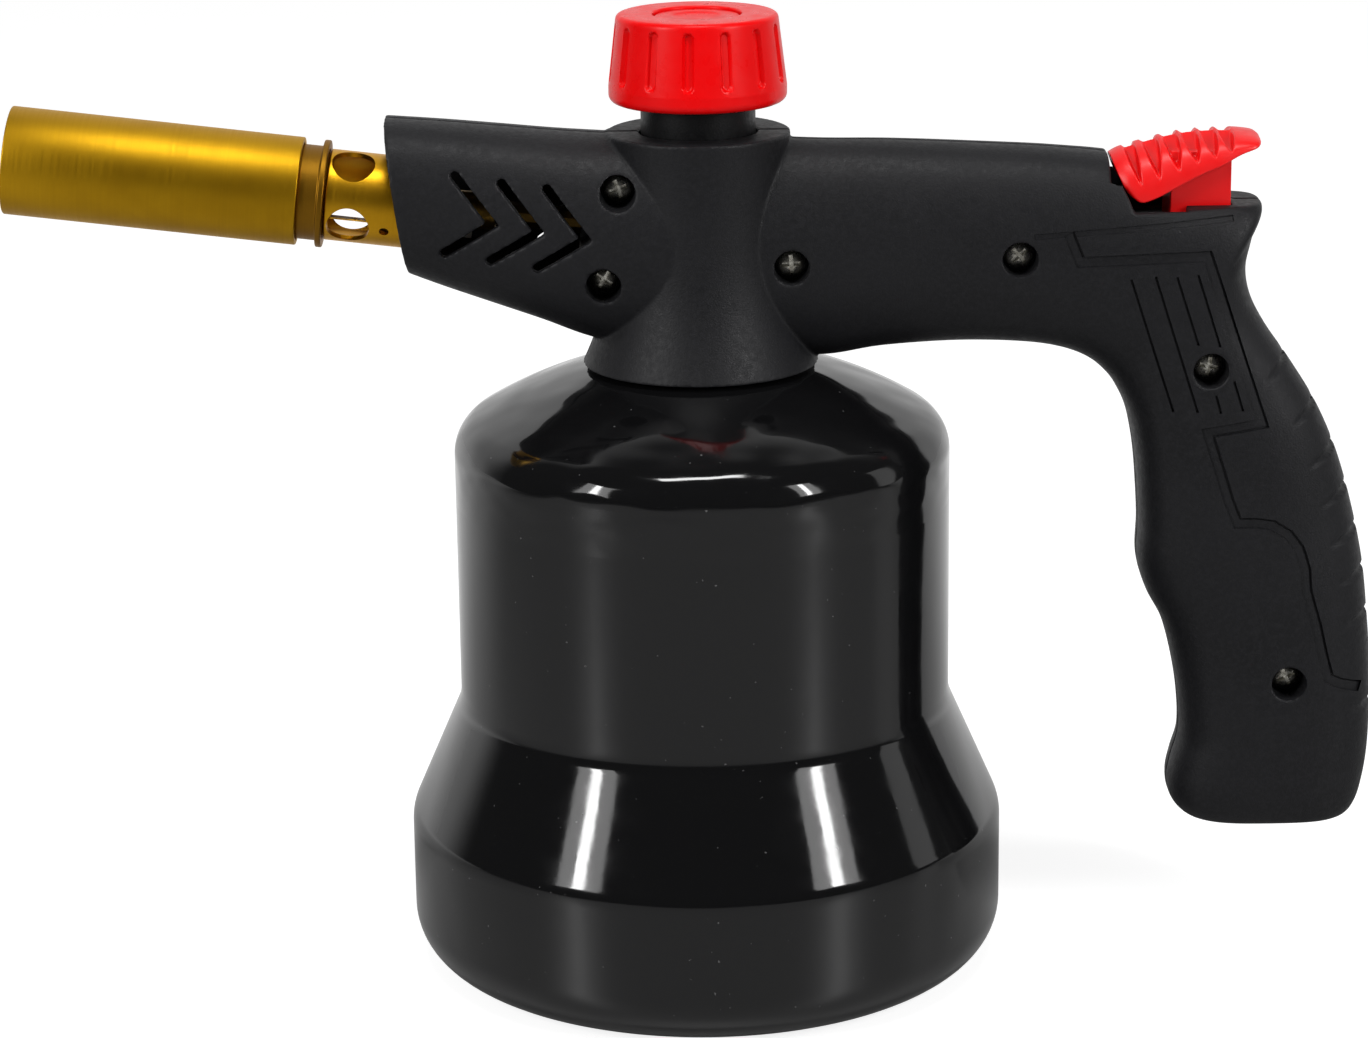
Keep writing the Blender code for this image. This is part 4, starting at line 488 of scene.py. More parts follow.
def arc(centre, radius, start_deg, end_deg, steps):
    """Points on a circle, with angles measured from +x towards +z."""
    turns = [radians(start_deg + (end_deg - start_deg) * i / steps) for i in range(steps + 1)]
    return [(centre[0] + radius * cos(turn), centre[1] + radius * sin(turn)) for turn in turns]


def stairs(radii, heights):
    """Corners of a stepped profile: at each height, from one radius across to the next."""
    return [(radii[k % len(radii)], z) for i, z in enumerate(heights) for k in (i, i + 1)]


def eased(corners, radius=EDGE_EASE, steps=3, closed=True):
    """A profile with its corners (x, z) or (x, z, own radius) turned into small arcs."""
    points = []
    count = len(corners)
    for index, corner in enumerate(corners):
        here = Vector(corner[:2])
        if not closed and index in (0, count - 1):
            points.append(tuple(here))
            continue
        back = Vector(corners[index - 1][:2]) - here
        ahead = Vector(corners[(index + 1) % count][:2]) - here
        half = back.angle(ahead) / 2
        wanted = corner[2] if len(corner) > 2 else radius
        # in a closed profile two corners share each side
        room = min(back.length, ahead.length) * (0.49 if closed else 0.99)
        reach = min(wanted / tan(half), room)
        if half > radians(NEARLY_STRAIGHT_DEG) or reach < MERGE_DISTANCE:
            points.append(tuple(here))
            continue
        back.normalize()
        ahead.normalize()
        centre = here + (back + ahead).normalized() * reach * tan(half) / sin(half)
        start = here + back * reach - centre
        sweep = start.angle_signed(here + ahead * reach - centre)
        for step in range(steps + 1):
            points.append(tuple(centre + Matrix.Rotation(-sweep * step / steps, 2) @ start))
    return points


def lathe(name, profile, steps, closed=True, dent=None):
    """Turns a profile about +Z. dent(radius, z, angle) may press the surface in."""
    bm = bmesh.new()
    rings = []
    for i in range(steps):
        angle = 2 * pi * i / steps
        ring = []
        for r, z in profile:
            radius = r - dent(r, z, angle) if dent else r
            ring.append(bm.verts.new((radius * cos(angle), radius * sin(angle), z)))
        rings.append(ring)
    for near, far in zip(rings, rings[1:] + rings[:1]):
        for j in range(len(profile) if closed else len(profile) - 1):
            k = (j + 1) % len(profile)
            if profile[j][0] or profile[k][0]:
                bm.faces.new((near[j], far[j], far[k], near[k]))
    bmesh.ops.remove_doubles(bm, verts=bm.verts, dist=MERGE_DISTANCE)
    return solid(bm, name)


def rods(name, ends, radius, steps=STEPS_SMALL):
    """Cylinders between pairs of points."""
    bm = bmesh.new()
    for start, end in ends:
        start, end = Vector(start), Vector(end)
        turn = (end - start).to_track_quat("Z", "Y").to_matrix().to_4x4()
        place = Matrix.Translation((start + end) / 2) @ turn
        sizes = {"radius1": radius, "radius2": radius, "depth": (end - start).length}
        bmesh.ops.create_cone(bm, cap_ends=True, segments=steps, matrix=place, **sizes)
    return solid(bm, name)


def box(name, low, high):
    bm = bmesh.new()
    low, high = Vector(low), Vector(high)
    size = Matrix.Diagonal((*(high - low), 1.0))
    bmesh.ops.create_cube(bm, size=1.0, matrix=Matrix.Translation((low + high) / 2) @ size)
    return solid(bm, name)


def prism(name, outline, low_y, high_y):
    """A flat outline of (x, z) points, drawn through from low_y to high_y."""
    bm = bmesh.new()
    face = bm.faces.new([bm.verts.new((x, low_y, z)) for x, z in outline])
    drawn = bmesh.ops.extrude_face_region(bm, geom=[face])["geom"]
    moved = [item for item in drawn if isinstance(item, bmesh.types.BMVert)]
    bmesh.ops.translate(bm, vec=(0.0, high_y - low_y, 0.0), verts=moved)
    bmesh.ops.triangulate(bm, faces=bm.faces)
    return solid(bm, name)


def add_loft(bm, rings):
    """A closed skin over rings of points, flat at both ends."""
    loops = [[bm.verts.new(point) for point in ring] for ring in rings]
    for first, second in zip(loops, loops[1:]):
        for i in range(len(first)):
            j = (i + 1) % len(first)
            bm.faces.new((first[i], first[j], second[j], second[i]))
    bm.faces.new(loops[0][::-1])
    bm.faces.new(loops[-1])


def loft(name, rings):
    bm = bmesh.new()
    add_loft(bm, rings)
    bmesh.ops.triangulate(bm, faces=bm.faces)
    return solid(bm, name)


def round_tube(name, route, radius, resolution=4):
    """A round tube along a route's points, capped."""
    curve = bpy.data.curves.new(name, "CURVE")
    curve.dimensions = "3D"
    curve.bevel_depth = radius
    curve.bevel_resolution = resolution
    curve.use_fill_caps = True
    spline = curve.splines.new("POLY")
    spline.points.add(len(route) - 1)
    for point, spot in zip(spline.points, route):
        point.co = (*spot, 1.0)
    holder = add_object(name + "_route", curve)
    bm = bmesh.new()
    bm.from_mesh(evaluated_mesh(holder))
    bpy.data.objects.remove(holder)
    bmesh.ops.remove_doubles(bm, verts=bm.verts, dist=MERGE_DISTANCE)
    return solid(bm, name)


def smooth_row(rows, position):
    """The row at a fractional position, on a smooth curve through all rows."""
    last = len(rows) - 1
    index = max(0, min(int(position), last - 1))
    part = position - index
    near = [rows[max(0, min(last, index + step))] for step in (-1, 0, 1, 2)]
    blended = []
    for a, b, c, d in zip(*near):
        bend = (2 * a - 5 * b + 4 * c - d) * part**2 + (3 * b - 3 * c + d - a) * part**3
        blended.append(b + ((c - a) * part + bend) / 2)
    return blended


def level(share):
    """Height of a share of the column above the seat, or of the grip below it."""
    return seat_z + share * (COLUMN_H if share > 0 else GRIP_DROP)


def form_rows(shares, reach):
    return [(a * reach, level(b), c * reach, level(d), t, sq) for a, b, c, d, t, sq in shares]


HANDLE = (form_rows(HANDLE_SHARES, HANDLE_REACH), HANDLE_HALF_T)
NOSE = (form_rows(NOSE_SHARES, NOSE_REACH), NOSE_HALF_T)
SCREW_PLACES = [(x * HANDLE_REACH, level(z)) for x, z in SCREW_SHARES]


def section_at(form, position):
    """Low edge, high edge, half thickness and squareness of the nose or the handle."""
    rows, half_thickness = form
    low_x, low_z, high_x, high_z, share, squareness = smooth_row(rows, position)
    low, high = Vector((low_x, 0.0, low_z)), Vector((high_x, 0.0, high_z))
    return low, high, share * half_thickness, squareness


def section_point(section, angle, stand=0.0):
    """A point of a rounded section, from its high edge round, moved out by a stand."""
    low, high, half_thickness, squareness = section
    along = (high - low) / 2
    c, s = cos(angle), sin(angle)
    up = copysign(abs(c) ** (2 / squareness), c)
    out = copysign(abs(s) ** (2 / squareness), s)
    reach = along + along.normalized() * stand
    return (low + high) / 2 + reach * up + Vector((0.0, (half_thickness + stand) * out, 0.0))


def loft_form(name, form, ends=None, steps_per_row=ROW_STEPS, inset=0.0):
    """The nose or the handle between two positions in its rows, drawn in by an inset."""
    first, last = ends or (0, len(form[0]) - 1)
    total = round((last - first) * steps_per_row)
    turns = [2 * pi * i / RING_POINTS for i in range(RING_POINTS)]
    sections = [section_at(form, first + (last - first) * i / total) for i in range(total + 1)]
    return loft(name, [[section_point(row, turn, -inset) for turn in turns] for row in sections])


def canister_side(inset, arc_steps, side_steps):
    """From the crown down to the foot's lip, at a distance inside the outer face."""
    shoulder = (canister_r - SHOULDER_ROUND, shoulder_z)
    meet = degrees(atan2(shoulder_z - crown_z, shoulder[0]))
    seat_deg = degrees(acos(HEAD_SEAT_R / CROWN_R))
    corners = [
        (canister_r - inset, shoulder_z),
        (canister_r - inset, FOOT_BAND_H + FLARE_RISE, FLARE_ROUND),
        (foot_r - inset, FOOT_BAND_H, FLARE_ROUND),
        (foot_r - inset, inset, foot_round - inset),
        (mouth_r, inset),
    ]
    points = arc((0.0, crown_z), CROWN_R - inset, seat_deg, meet, arc_steps)
    points += arc(shoulder, SHOULDER_ROUND - inset, meet, 0.0, arc_steps)[1:]
    points += eased(corners, steps=side_steps, closed=False)[1:]
    return [(STEM_R + SEAT_GAP, seat_z - inset), *points]


def bayonet_sectors(name, inner_r, outer_r, low_z, high_z, width_deg, turn_deg=0.0):
    """A sector for each bayonet place, centred on its angle."""
    bm = bmesh.new()
    for number in range(BASE_LUG_COUNT):
        rings = []
        for step in range(SECTOR_STEPS + 1):
            middle = turn_deg + 360.0 * number / BASE_LUG_COUNT
            turn = radians(middle + width_deg * (step / SECTOR_STEPS - 0.5))
            ray = Vector((cos(turn), sin(turn), 0.0))
            corners = ((inner_r, low_z), (outer_r, low_z), (outer_r, high_z), (inner_r, high_z))
            rings.append([ray * r + Vector((0.0, 0.0, z)) for r, z in corners])
        add_loft(bm, rings)
    return solid(bm, name)


def make_canister():
    inside = canister_side(CANISTER_WALL, *INSIDE_STEPS)
    profile = canister_side(0.0, *OUTSIDE_STEPS) + inside[::-1]
    shell = lathe("canister_shell", profile, STEPS_CANISTER)
    reach = mouth_r + BASE_LUG_REACH + RUN_GAP
    sizes = (mouth_r - OVERRUN, reach, -OVERRUN, CANISTER_WALL + OVERRUN, BASE_NOTCH_DEG)
    notches = bayonet_sectors("bayonet_notches", *sizes, -BASE_TURN_DEG)
    return as_piece(combine(shell, [notches]), 30.0)


def make_base_cap():
    rim_r = base_cap_r - BASE_CAP_RIM
    middle_r = base_cap_r - BASE_CAP_RIM / 2
    plate_z = BASE_CAP_H - BASE_CAP_PLATE
    corners = stairs([0.0, base_cap_r, rim_r, 0.0], [BASE_CAP_H, BASE_CAP_LIFT, plate_z])
    cap = lathe("base_cap_body", eased(corners, BASE_CAP_ROUND, 3, False), STEPS_CAP, False)
    low = (-middle_r, -BASE_BAR_W / 2, 0.0)
    high = (middle_r, BASE_BAR_W / 2, plate_z + BASE_CAP_PLATE / 2)
    lug_z = CANISTER_WALL + BASE_LUG_LIFT
    sizes = (middle_r, mouth_r + BASE_LUG_REACH, lug_z, lug_z + BASE_LUG_H, BASE_LUG_DEG)
    combine(cap, [box("base_bar", low, high), bayonet_sectors("base_lugs", *sizes)], "UNION")
    limit = {"limit_method": "ANGLE", "angle_limit": radians(40.0)}
    modify(cap, "BEVEL", width=SMALL_ROUND, segments=2, **limit)
    return as_piece(apply_modifiers(cap))


def make_sleeve():
    ends = [knob_z + SLEEVE_INSIDE_KNOB, column_top - SLEEVE_SINK]
    profile = eased(stairs([SLEEVE_BORE_R, SLEEVE_R], ends), SMALL_ROUND)
    return as_piece(lathe("sleeve_ring", profile, STEPS_BURNER))


def groove_depth(radius, z, angle):
    """How deep the knob's nearest groove is at a point of its skirt."""
    if radius < KNOB_TOP_R - KNOB_TOP_ROUND:
        return 0.0
    pitch = 2 * pi / KNOB_GROOVES
    phase = radians(KNOB_GROOVE_PHASE_DEG - 90.0)
    off = (angle - phase + pitch / 2) % pitch - pitch / 2
    low = knob_z + KNOB_GROOVE_BOTTOM
    high = knob_top - KNOB_GROOVE_TOP
    away = hypot(off * radius, max(low - z, z - high, 0.0))
    share = (KNOB_GROOVE_R + KNOB_GROOVE_WALL / 2 - away) / KNOB_GROOVE_WALL
    share = max(0.0, min(1.0, share / KNOB_GROOVE_SLOPE))
    return KNOB_GROOVE_DEPTH * share * share * (3 - 2 * share)


def make_knob():
    cap_floor = knob_top - KNOB_CAP_SINK
    head_z = cap_floor - KNOB_SCREW_HEAD_H - 2 * SEAT_GAP
    rim = [
        (KNOB_CAP_R + SEAT_GAP, knob_top, SMALL_ROUND),
        (KNOB_TOP_R, knob_top, KNOB_TOP_ROUND),
        (KNOB_SKIRT_R, knob_z + KNOB_SKIRT_H, KNOB_SIDE_ROUND),
        (KNOB_SKIRT_R, knob_z, KNOB_SKIRT_ROUND),
    ]
    holes = (SPINDLE_R, KNOB_SCREW_R, KNOB_SCREW_HEAD_R, KNOB_CAP_R)
    radii = [KNOB_SKIRT_R, KNOB_CAVITY_R, KNOB_HUB_R, *(r + SEAT_GAP for r in holes)]
    floors = [knob_z, knob_z + KNOB_CAVITY_H, knob_z + KNOB_HUB_LIFT, head_z - KNOB_WEB]
    outline = eased(rim + stairs(radii, [*floors, head_z, cap_floor])[1:], steps=6)
    profile = []
    for first, second in zip(outline, outline[1:] + outline[:1]):
        parts = 1
        if min(first[0], second[0]) > KNOB_TOP_R - KNOB_TOP_ROUND / 2:
            parts = max(1, round((Vector(second) - Vector(first)).length / KNOB_FINE_STEP))
        for part in range(parts):
            profile.append(tuple(Vector(first).lerp(Vector(second), part / parts)))
    steps = KNOB_GROOVES * STEPS_GROOVE
    return as_piece(lathe("knob_body", profile, steps, True, groove_depth), 40.0)


def make_knob_cap():
    cap_z = knob_top - KNOB_CAP_SINK + SEAT_GAP
    cap_top = cap_z + KNOB_CAP_H
    dish = [
        (KNOB_DISH_R * share, cap_top - KNOB_DISH_DEPTH * (1 - share**2) ** 0.5)
        for share in (0.0, 0.2, 0.4, 0.6, 0.75, 0.87, 0.95, 1.0)
    ]
    edge = [(KNOB_CAP_R, cap_top), (KNOB_CAP_R, cap_z), (0.0, cap_z)]
    profile = dish + eased([dish[-1], *edge], SMALL_ROUND, 4, False)[1:]
    return as_piece(lathe("knob_disc", profile, STEPS_BURNER, False))


def column_radius(share):
    """Radius of the waisted column at a share of its height."""
    if share < COLUMN_WAIST_SHARE:
        rest = 1 - share / COLUMN_WAIST_SHARE
        return COLUMN_WAIST_R + (COLUMN_FOOT_R - COLUMN_WAIST_R) * rest**COLUMN_FLARE_POWER
    rest = (share - COLUMN_WAIST_SHARE) / (1 - COLUMN_WAIST_SHARE)
    return COLUMN_WAIST_R + (COLUMN_TOP_R - COLUMN_WAIST_R) * rest**2


def column_form():
    foot_z = seat_z + SEAT_GAP
    height = column_top - foot_z
    shares = [1 - i / COLUMN_ROWS for i in range(COLUMN_ROWS + 1)]
    side = [(column_radius(share), foot_z + share * height) for share in shares]
    profile = [(0.0, column_top), *side, (0.0, foot_z)]
    return lathe("column_form", profile, STEPS_COLUMN, False)


def valve_room():
    """The space that the valve, its nut and the sleeve take up in the column."""
    collar_top = axis_z - COLLAR_BELOW_AXIS + SEAT_GAP
    collar_low = collar_top - COLLAR_H - 2 * SEAT_GAP
    block_top = axis_z + BLOCK_ABOVE_AXIS + SEAT_GAP
    sleeve_floor = column_top - SLEEVE_SINK - SEAT_GAP
    fits = (SLEEVE_R, VALVE_NECK_R, BLOCK_R, COLLAR_R, STEM_R)
    radii = [0.0, *(r + SEAT_GAP for r in fits), NUT_ROOM_R, 0.0]
    upper = [column_top + OVERRUN, sleeve_floor, block_top, collar_top, collar_low]
    heights = [*upper, seat_z + NUT_ROOM_H, seat_z - OVERRUN]
    return lathe("valve_room", stairs(radii, heights), STEPS_BURNER, False)


def pad_row(position):
    """Edge, crest and half width of the thumb pad at a position in its rows."""
    x, z, crest_x, crest_z, share = smooth_row(PAD_SHARES, position)
    edge = (trigger_x + x * BUTTON_LENGTH, 0.0, deck_z + z * BUTTON_H)
    crest = (trigger_x + crest_x * BUTTON_LENGTH, 0.0, deck_z + crest_z * BUTTON_H)
    return Vector(edge), Vector(crest), share * BUTTON_HALF_W


def pad_point(position, angle):
    """A point on the arched thumb pad, from one edge at 0 to the other at pi."""
    edge, crest, half_width = pad_row(position)
    height = max(0.0, sin(angle))
    x = edge.x + (crest.x - edge.x) * height**PAD_LEAN_POWER
    z = edge.z + (crest.z - edge.z) * height**PAD_RISE_POWER
    return Vector((x, half_width * cos(angle), z))


def scoop_depth(position, angle):
    """Depth of the lens-shaped scoops across the thumb pad."""
    depth = 0.0
    across = min(1.0, abs(degrees(angle) - 90.0) / PAD_SCOOP_HALF_DEG)
    half_row = PAD_SCOOP_HALF_ROW * (1.0 - across**PAD_SCOOP_TAPER)
    hollow = 1.0 - (1.0 - PAD_SCOOP_AT_CREST) * (2.0 * across - 1.0) ** 2
    for row in PAD_SCOOP_ROWS:
        inside = half_row - abs(position - row)
        if inside > 0.0:
            wall = min(1.0, inside / (PAD_SCOOP_HALF_ROW * PAD_SCOOP_WALL))
            depth = max(depth, PAD_SCOOP_DEPTH * hollow * wall * wall * (3 - 2 * wall))
    return depth


def trigger_box(name, length, half_width, gap, low_z, high_z):
    """A box round the button's line of travel, with a gap on its four sides."""
    reach, side = length / 2 + gap, half_width + gap
    return box(name, (trigger_x - reach, -side, low_z), (trigger_x + reach, side, high_z))


def make_button():
    """Arched thumb pad with scooped cross grooves, on its stem."""
    last = len(PAD_SHARES) - 1
    fine = last * PAD_STEPS
    nudge = 0.002
    rings = []
    for i in range(fine + 1):
        spot = last * i / fine
        ring = []
        for j in range(PAD_ARCH_STEPS + 1):
            angle = pi * j / PAD_ARCH_STEPS
            point = pad_point(spot, angle)
            depth = scoop_depth(spot, angle)
            if depth:
                along = pad_point(min(last, spot + nudge), angle) - pad_point(spot - nudge, angle)
                over = pad_point(spot, angle + nudge) - pad_point(spot, angle - nudge)
                normal = over.cross(along).normalized()
                point -= normal * copysign(depth, normal.z)
            ring.append(point)
        rings.append(ring)
    button = loft("button_body", rings)
    ends = (deck_z - STEM_SINK, deck_z + STEM_TOP)
    combine(button, [trigger_box("button_stem", STEM_LENGTH, STEM_HALF_W, 0.0, *ends)], "UNION")
    return as_piece(soften(button, BUTTON_VOXEL, 2, BUTTON_KEEP), 60.0)


def deck_outline(wall_shift, foot_shift):
    """What is cut away above the deck, with the wall before the pad moved along x."""
    edge, crest, _ = pad_row(0.0)
    rear_x = trigger_x + STEM_LENGTH / 2 + RUN_GAP + POCKET_BEHIND
    wall_x = crest.x - RUN_GAP + wall_shift
    edge_x = edge.x - RUN_GAP
    high = crest.z + BUTTON_H
    return [
        (wall_x, high),
        (wall_x, crest.z),
        (edge_x + foot_shift, edge.z),
        *stairs([edge_x, rear_x, HANDLE_REACH], [deck_z + DECK_CROWN, deck_z + LIP_RISE]),
        (HANDLE_REACH, high),
    ]


def pad_pockets():
    """The two parts of the pocket that the pad sinks into, the front one narrower."""
    edge, crest, _ = pad_row(0.0)
    second, _, front_half_width = pad_row(1.0)
    high = crest.z + BUTTON_H
    wall_x, edge_x = crest.x - RUN_GAP, edge.x - RUN_GAP
    floor_z = deck_z - POCKET_SINK
    pressed = BUTTON_TRAVEL + RUN_GAP
    rear_x = trigger_x - STEM_LENGTH / 4
    front = [
        (wall_x, high),
        (wall_x, crest.z - pressed - PAD_BULGE_ROOM),
        (edge_x, edge.z - pressed - PAD_BULGE_ROOM),
        (edge_x, high),
    ]
    main = [
        (edge_x, high),
        (edge_x, edge.z - pressed),
        (second.x - BUTTON_TRAVEL / 3, floor_z),
        (rear_x, floor_z),
        (rear_x, high),
    ]
    front_y, main_y = front_half_width + RUN_GAP / 2, BUTTON_HALF_W + RUN_GAP
    front_cutter = prism("front_pocket", front, -front_y, front_y)
    return front_cutter, prism("pad_pocket", main, -main_y, main_y)


def deck_slopes(near_x, far_x, high_x):
    """Lets the deck fall off from its raised middle towards both sides of the handle."""
    cutters = []
    crown_z = deck_z + DECK_CROWN
    for name, side, low_x in (("near_slope", -1, near_x), ("far_slope", 1, far_x)):
        inner = side * DECK_EDGE_Y
        outer = side * (HANDLE_HALF_T + OVERRUN)
        fall = DECK_CROWN * (abs(outer) - DECK_EDGE_Y) / (HANDLE_HALF_T - DECK_EDGE_Y)
        section = [(inner, crown_z), (outer, crown_z - fall), (outer, crown_z + OVERRUN)]
        cutters.append(loft(name, [[(x, y, z) for y, z in section] for x in (low_x, high_x)]))
    return cutters


def trigger_room():
    """Everything that is cut out of the handle for the button and the igniter."""
    near_deck = deck_outline(0.0, -NEAR_WALL_BACK)
    far_deck = deck_outline(FAR_WALL_AHEAD, FAR_WALL_AHEAD)
    across = HANDLE_HALF_T + OVERRUN
    stem = (STEM_LENGTH, STEM_HALF_W, RUN_GAP, piezo_top - SEAT_GAP)
    piezo = (PIEZO_LENGTH, PIEZO_HALF_W, SEAT_GAP, piezo_z - SEAT_GAP)
    return [
        prism("near_deck", near_deck, -across, SEAT_GAP),
        prism("far_deck", far_deck, -SEAT_GAP, across),
        *deck_slopes(near_deck[3][0], far_deck[2][0], near_deck[4][0]),
        *pad_pockets(),
        trigger_box("stem_well", *stem, deck_z - POCKET_SINK + OVERRUN + DECK_CROWN),
        trigger_box("piezo_pocket", *piezo, piezo_top + OVERRUN),
    ]


def bent_slot(upper, point, lower, width):
    """Outline of a V-shaped slot with round ends, through three (x, z) points."""
    upper, point, lower = Vector(upper), Vector(point), Vector(lower)
    to_upper = (upper - point).normalized()
    to_lower = (lower - point).normalized()
    half = to_upper.angle(to_lower) / 2
    mitre = (to_upper + to_lower).normalized() * width / 2 / sin(half)
    up_deg = degrees(atan2(to_upper.y, to_upper.x))
    down_deg = degrees(atan2(to_lower.y, to_lower.x))
    outline = arc(upper, width / 2, up_deg - 90.0, up_deg + 90.0, SLOT_END_STEPS)
    outline.append(tuple(point + mitre))
    outline += arc(lower, width / 2, down_deg - 90.0, down_deg + 90.0, SLOT_END_STEPS)
    outline.append(tuple(point - mitre))
    return outline


def chevrons():
    cutters = []
    for number, corners in enumerate(CHEVRON_SHARES):
        places = [(x * NOSE_REACH, level(z)) for x, z in corners]
        outline = bent_slot(*places, CHEVRON_SLOT_W)
        for side, start in (("front", -CHEVRON_INNER_Y), ("rear", CHEVRON_INNER_Y)):
            ends = sorted((start, copysign(NOSE_HALF_T + OVERRUN, start)))
            cutters.append(prism(f"chevron_{side}_{number + 1}", outline, *ends))
    return cutters


def notches():
    """Round grooves that wrap the back of the grip and run out on its sides."""
    cutters = []
    for number, spot in enumerate(NOTCH_ROW_SHARES):
        section = section_at(HANDLE, spot)
        route = []
        for i in range(NOTCH_STEPS + 1):
            share = 2 * i / NOTCH_STEPS - 1
            stand = NOTCH_RUN_OUT * share**2 - NOTCH_SINK
            route.append(section_point(section, radians(NOTCH_HALF_SWEEP_DEG * share), stand))
        cutters.append(round_tube(f"notch_{number + 1}", route, NOTCH_R))
    return cutters


def offset_right(points, width):
    """A row of (x, z) points moved to its right, with mitred corners."""
    moved = []
    for index, point in enumerate(points):
        here = Vector(point)
        before = Vector(points[max(0, index - 1)])
        after = Vector(points[min(len(points) - 1, index + 1)])
        into = (here - before).normalized() if index else (after - here).normalized()
        out = (after - here).normalized() if index < len(points) - 1 else into
        right_in = Vector((into.y, -into.x))
        mitre = (right_in + Vector((out.y, -out.x))).normalized()
        moved.append(tuple(here + mitre * width / max(MITRE_LIMIT, mitre.dot(right_in))))
    return moved


def grip_strips(name, rows, width, depth):
    """Cutters along rows of points, on both sides of the grip and down to a depth."""
    core = loft_form(name + "_floor", HANDLE, inset=depth)
    reach = HANDLE_HALF_T + OVERRUN
    cutters = []
    for number, shares in enumerate(rows):
        wall = [(x * HANDLE_REACH, level(z)) for x, z in shares]
        outline = wall + offset_right(wall, width)[::-1]
        strip = prism(f"{name}_{number + 1}", outline, -reach, reach)
        cutters.append(combine(strip, [core]))
    return cutters


def grip_lines():
    """The sunk frame with its sharp edge, the upright lines and the crease above."""
    lines = [FRAME_BAND_SHARES[:2], FRAME_BAND_SHARES[2:], *STRIPE_SHARES]
    bands = grip_strips("band", [FRAME_BAND_SHARES], BAND_W, BAND_DEPTH)
    creases = grip_strips("crease", [CREASE_SHARES], CREASE_W, CREASE_DEPTH)
    return bands + creases + grip_strips("line", lines, LINE_W, LINE_DEPTH)


def housing_block():
    """The head before it is split, with its open rooms."""
    block = loft_form("housing_block", HANDLE)
    combine(block, [column_form(), loft_form("nose_form", NOSE)], "UNION")
    cavity = loft_form("nose_cavity", NOSE, NOSE_CAVITY_ROWS, 2, NOSE_WALL)
    ends = (along_burner(BLOCK_R / 2), along_burner(NOSE_REACH / 2))
    passage = rods("pipe_passage", [ends], PIPE_R + PIPE_PASSAGE_GAP)
    cuts = [cavity, valve_room(), passage, *trigger_room(), *chevrons(), *notches()]
    return combine(block, cuts)


def make_housing():
    block = housing_block()
    wide = HANDLE_REACH + NOSE_REACH
    small = OVERRUN / 4
    heads = [((x, -SCREW_SEAT, z), (x, -NOSE_HALF_T - OVERRUN, z)) for x, z in SCREW_PLACES]
    depth = SCREW_L - SCREW_SEAT + small
    shanks = [((x, -SCREW_SEAT - small, z), (x, depth, z)) for x, z in SCREW_PLACES]
    bores = rods("screw_bores", shanks, SCREW_R + SEAT_GAP)
    counterbores = rods("counterbores", heads, COUNTERBORE_R, STEPS_BORE)
    lines = grip_lines()
    halves = []
    for name, sign, extra in (("front_half", -1, [counterbores]), ("rear_half", 1, [])):
        half = add_object(name, block.data.copy())
        near, far = sorted((-sign * (COLUMN_FOOT_R + OVERRUN), sign * PARTING_GAP / 2))
        away = box(name + "_away", (-wide, near, -wide), (wide, far, 2 * wide))
        combine(half, [away, bores, *extra])
        halves.append(as_piece(soften(half, HOUSING_VOXEL, 4, HOUSING_KEEP, lines), 40.0))
    return halves


def make_screw(number, place):
    """Pan head with a cross recess, and its shank."""
    bead = arc((0.0, 0.0), SCREW_HEAD_R, 90.0, 25.0, 8)
    head = [(r, h * SCREW_HEAD_H / SCREW_HEAD_R) for r, h in bead[1:]]
    rest = [(SCREW_HEAD_R, 0.0), (SCREW_R, 0.0), (SCREW_R, SCREW_R - SCREW_L), (0.0, -SCREW_L)]
    name = f"cross_screw_{number + 1}"
    screw = lathe(name, [(0.0, SCREW_HEAD_H), *head, *rest], STEPS_SMALL, False)
    half_l, half_w = CROSS_L / 2, CROSS_W / 2
    turn = Matrix.Rotation(radians(FIRST_CROSS_DEG + NEXT_CROSS_DEG * number), 4, "Z")
    slots = []
    for x, y in ((half_l, half_w), (half_w, half_l)):
        top = SCREW_HEAD_H + OVERRUN / 4
        slot = box(f"{name}_slot_{len(slots)}", (-x, -y, SCREW_HEAD_H - CROSS_DEPTH), (x, y, top))
        slot.data.transform(turn)
        slots.append(slot)
    combine(screw, slots)
    screw.data.transform(Matrix.Rotation(pi / 2, 4, "X"))
    screw.data.transform(Matrix.Translation((place[0], -SCREW_SEAT - SEAT_GAP, place[1])))
    return as_piece(screw)


BURNER_FRAME = Matrix.Translation((0.0, 0.0, axis_z)) @ Matrix.Rotation(tilt - pi / 2, 4, "Y")


def along_burner(distance, reach=0.0, turn_deg=0.0):
    """A world point at a distance along the burner, off its axis by a reach at an angle."""
    turn = radians(turn_deg)
    return BURNER_FRAME @ Vector((reach * sin(turn), -reach * cos(turn), distance))


def burner_piece(name, profile, steps=STEPS_BURNER, ease=EDGE_EASE):
    """A piece turned about the burner's axis, modelled on its own Z axis."""
    piece = lathe(name, eased(profile, ease), steps)
    piece.matrix_world = BURNER_FRAME
    return piece


